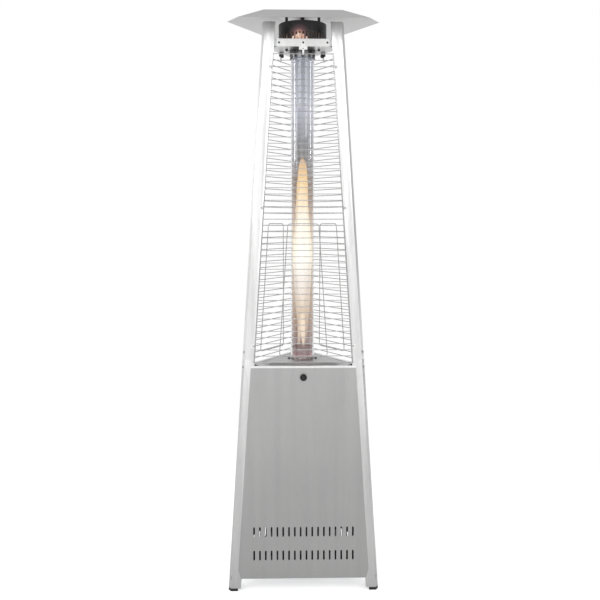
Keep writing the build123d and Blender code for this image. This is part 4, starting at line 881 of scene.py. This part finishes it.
# painted glow: the drum's emission fades with the distance from the painted glow spot
away = hood_tree.nodes.new("ShaderNodeVectorMath")
away.operation = "DISTANCE"
away.inputs[1].default_value = painted_glow_spot
hood_tree.links.new(hood_at, away.inputs[0])
hood_tree.links.new(colour_stops(hood_tree, away.outputs["Value"], painted_glow_fade),
                    hood_shader.inputs["Emission Color"])
hood_shader.inputs["Emission Strength"].default_value = 1.0
level_place = hood_tree.nodes.new("ShaderNodeVectorMath")
level_place.operation = "MULTIPLY"
level_place.inputs[1].default_value = (1.0, 1.0, 0.0)
hood_tree.links.new(hood_at, level_place.inputs[0])
drum_reach = hood_tree.nodes.new("ShaderNodeVectorMath")
drum_reach.operation = "LENGTH"
hood_tree.links.new(level_place.outputs[0], drum_reach.inputs[0])
# The inside of the drum is a paler grey than its outside.
recolour(hood_tree, hood_shader, math_node(hood_tree, "LESS_THAN", drum_reach.outputs["Value"], hood_inside),
         drum_inside_grey)
wear(hood_enamel, "flame_hood")
glow, glow_tree, glow_shader = new_material("hood_glow", Metallic=0.0, Roughness=1.0, Specular_IOR_Level=0.0,
                                            Emission_Strength=1.0)
glow_shader.inputs["Base Color"].default_value = (0.0, 0.0, 0.0, 1.0)
embers = grouped(glow_tree, surface_grain, Grain=34.0, Grain_Detail=3.0)["Grain"]
glow_tree.links.new(ramp(glow_tree, embers, glow_deep, glow_bright), glow_shader.inputs["Emission Color"])
form = bmesh.new()
bmesh.ops.create_icosphere(form, subdivisions=4, radius=1.0)
for vert in form.verts:
    lick = 1 + glow_raggedness * noise.noise(vert.co * 2.2)
    vert.co = Vector([part * size * lick for part, size in zip(vert.co, glow_size)]) + glow_centre
placed("hood_glow", finished_mesh("hood_glow", form), glow, angle=180)


# Reflector. One stainless sheet folded into a three-sided hat with cut corners, on spacers over the
# hood, tied down by the rods and their nuts.
reflector_steel = brushed_steel("reflector_steel", (0.64, 0.64, 0.635), (0.54, 0.54, 0.54), rough=(0.32, 0.45),
                                bands=20.0)
wear(reflector_steel, "reflector")


# Studio. A pale floor that runs into a white surround, a soft lamp at the front left, a weaker one at
# the right, one overhead, and two small ones beside the tube that draw the bright lines on its glass.
floor_reach = 9.0
floor_colour = 0.86
floor_lift = 0.5
fade_start = 0.06
fade_end = 0.3
# The surround's level for mirrors and for soft light: where a change starts and stops along its
# direction, and the levels it goes between.
mirror_overhead = (0.4, 0.85, 1.0, 0.5)
mirror_right = (0.2, 0.95, 1.0, 0.35)
mirror_left = (-0.95, -0.5, 0.62, 1.0)
light_across = (-1.0, 1.0, 0.66, 0.4)
camera_lens = 48.65
camera_sensor = 36.0
camera_place = (-0.0949, -3.3863, 1.5122)
camera_way = (0.0249, 0.9950, -0.0968)
# Each lamp: its place, the height it aims at, its size and its power.
lamps = [("key_lamp", (-2.2, -3.6, 3.6), 1.5, (2.6, 2.2), 52.0),
         ("fill_lamp", (2.3, -3.2, 3.3), 1.5, (2.0, 2.2), 30.0),
         ("top_lamp", (0.0, -1.5, 4.6), 1.5, (3.0, 3.0), 35.0),
         ("left_strip", (-2.6, -0.2, 2.3), 2.0, (0.7, 0.7), 18.0),
         ("right_strip", (2.6, -0.1, 2.3), 2.0, (0.35, 0.7), 8.0)]
form = bmesh.new()
bmesh.ops.create_circle(form, cap_ends=True, segments=64, radius=floor_reach)
data = finished_mesh("studio_floor", form)
floor = bpy.data.objects.new("studio_floor", data)
bpy.context.scene.collection.objects.link(floor)
floor_paint, floor_tree, floor_shader = new_material("studio_floor", Roughness=0.9, Specular_IOR_Level=0.0)
rays = floor_tree.nodes.new("ShaderNodeLightPath")
seen = math_node(floor_tree, "MINIMUM", 1.0, math_node(
    floor_tree, "ADD", math_node(floor_tree, "ADD", rays.outputs["Is Camera Ray"], rays.outputs["Is Glossy Ray"]),
    rays.outputs["Is Transmission Ray"]))
from_middle = floor_tree.nodes.new("ShaderNodeVectorMath")
from_middle.operation = "LENGTH"
floor_tree.links.new(object_place(floor_tree), from_middle.inputs[0])
far = ramp(floor_tree, math_node(floor_tree, "DIVIDE", from_middle.outputs["Value"], floor_reach), 0.0, 1.0,
           fade_start, fade_end)
fade = math_node(floor_tree, "MULTIPLY", seen, far)
floor_tree.links.new(ramp(floor_tree, fade, floor_colour, 0.0, 0.0, 1.0), floor_shader.inputs["Base Color"])
floor_shader.inputs["Emission Color"].default_value = (1.0, 1.0, 1.0, 1.0)
floor_tree.links.new(math_node(floor_tree, "MULTIPLY", seen, ramp(floor_tree, far, floor_lift, 1.0, 0.0, 1.0)),
                     floor_shader.inputs["Emission Strength"])
data.materials.append(floor_paint)

world = bpy.data.worlds.new("studio")
bpy.context.scene.world = world
world.use_nodes = True
sky = world.node_tree
background = sky.nodes["Background"]
background.inputs["Color"].default_value = (1.0, 1.0, 1.0, 1.0)
sky_rays = sky.nodes.new("ShaderNodeLightPath").outputs
sky_way = split_place(sky, sky.nodes.new("ShaderNodeTexCoord").outputs["Generated"])


def falling(value, start, stop, first, last):
    """A number that goes from the first to the last level as a value goes from start to stop."""
    node = sky.nodes.new("ShaderNodeMapRange")
    for socket, number in (("From Min", start), ("From Max", stop), ("To Min", first), ("To Max", last)):
        node.inputs[socket].default_value = number
    sky.links.new(value, node.inputs["Value"])
    return node.outputs[0]


direct = math_node(sky, "ADD", sky_rays["Is Camera Ray"], sky_rays["Is Transmission Ray"])
mirrored = math_node(sky, "MULTIPLY", falling(sky_way["Z"], *mirror_overhead),
                     math_node(sky, "MULTIPLY", falling(sky_way["X"], *mirror_right),
                               falling(sky_way["X"], *mirror_left)))
shaded = math_node(sky, "ADD", math_node(sky, "MULTIPLY", mirrored, sky_rays["Is Glossy Ray"]),
                   math_node(sky, "MULTIPLY", falling(sky_way["X"], *light_across),
                             math_node(sky, "SUBTRACT", 1.0, sky_rays["Is Glossy Ray"])))
sky.links.new(math_node(sky, "MAXIMUM", direct, shaded), background.inputs["Strength"])

for name, place, aim_height, size, power in lamps:
    light = bpy.data.lights.new(name, "AREA")
    light.shape = "RECTANGLE"
    light.size, light.size_y = size
    light.energy = power
    lamp = bpy.data.objects.new(name, light)
    bpy.context.scene.collection.objects.link(lamp)
    lamp.location = place
    lamp.rotation_euler = (Vector((0, 0, aim_height)) - Vector(place)).to_track_quat("-Z", "Y").to_euler()

camera_data = bpy.data.cameras.new("photo_camera")
camera_data.lens = camera_lens
camera_data.sensor_width = camera_sensor
camera = bpy.data.objects.new("photo_camera", camera_data)
bpy.context.scene.collection.objects.link(camera)
camera.location = camera_place
camera.rotation_euler = Vector(camera_way).to_track_quat("-Z", "Y").to_euler()
bpy.context.scene.camera = camera
bpy.context.scene.view_settings.view_transform = "Standard"
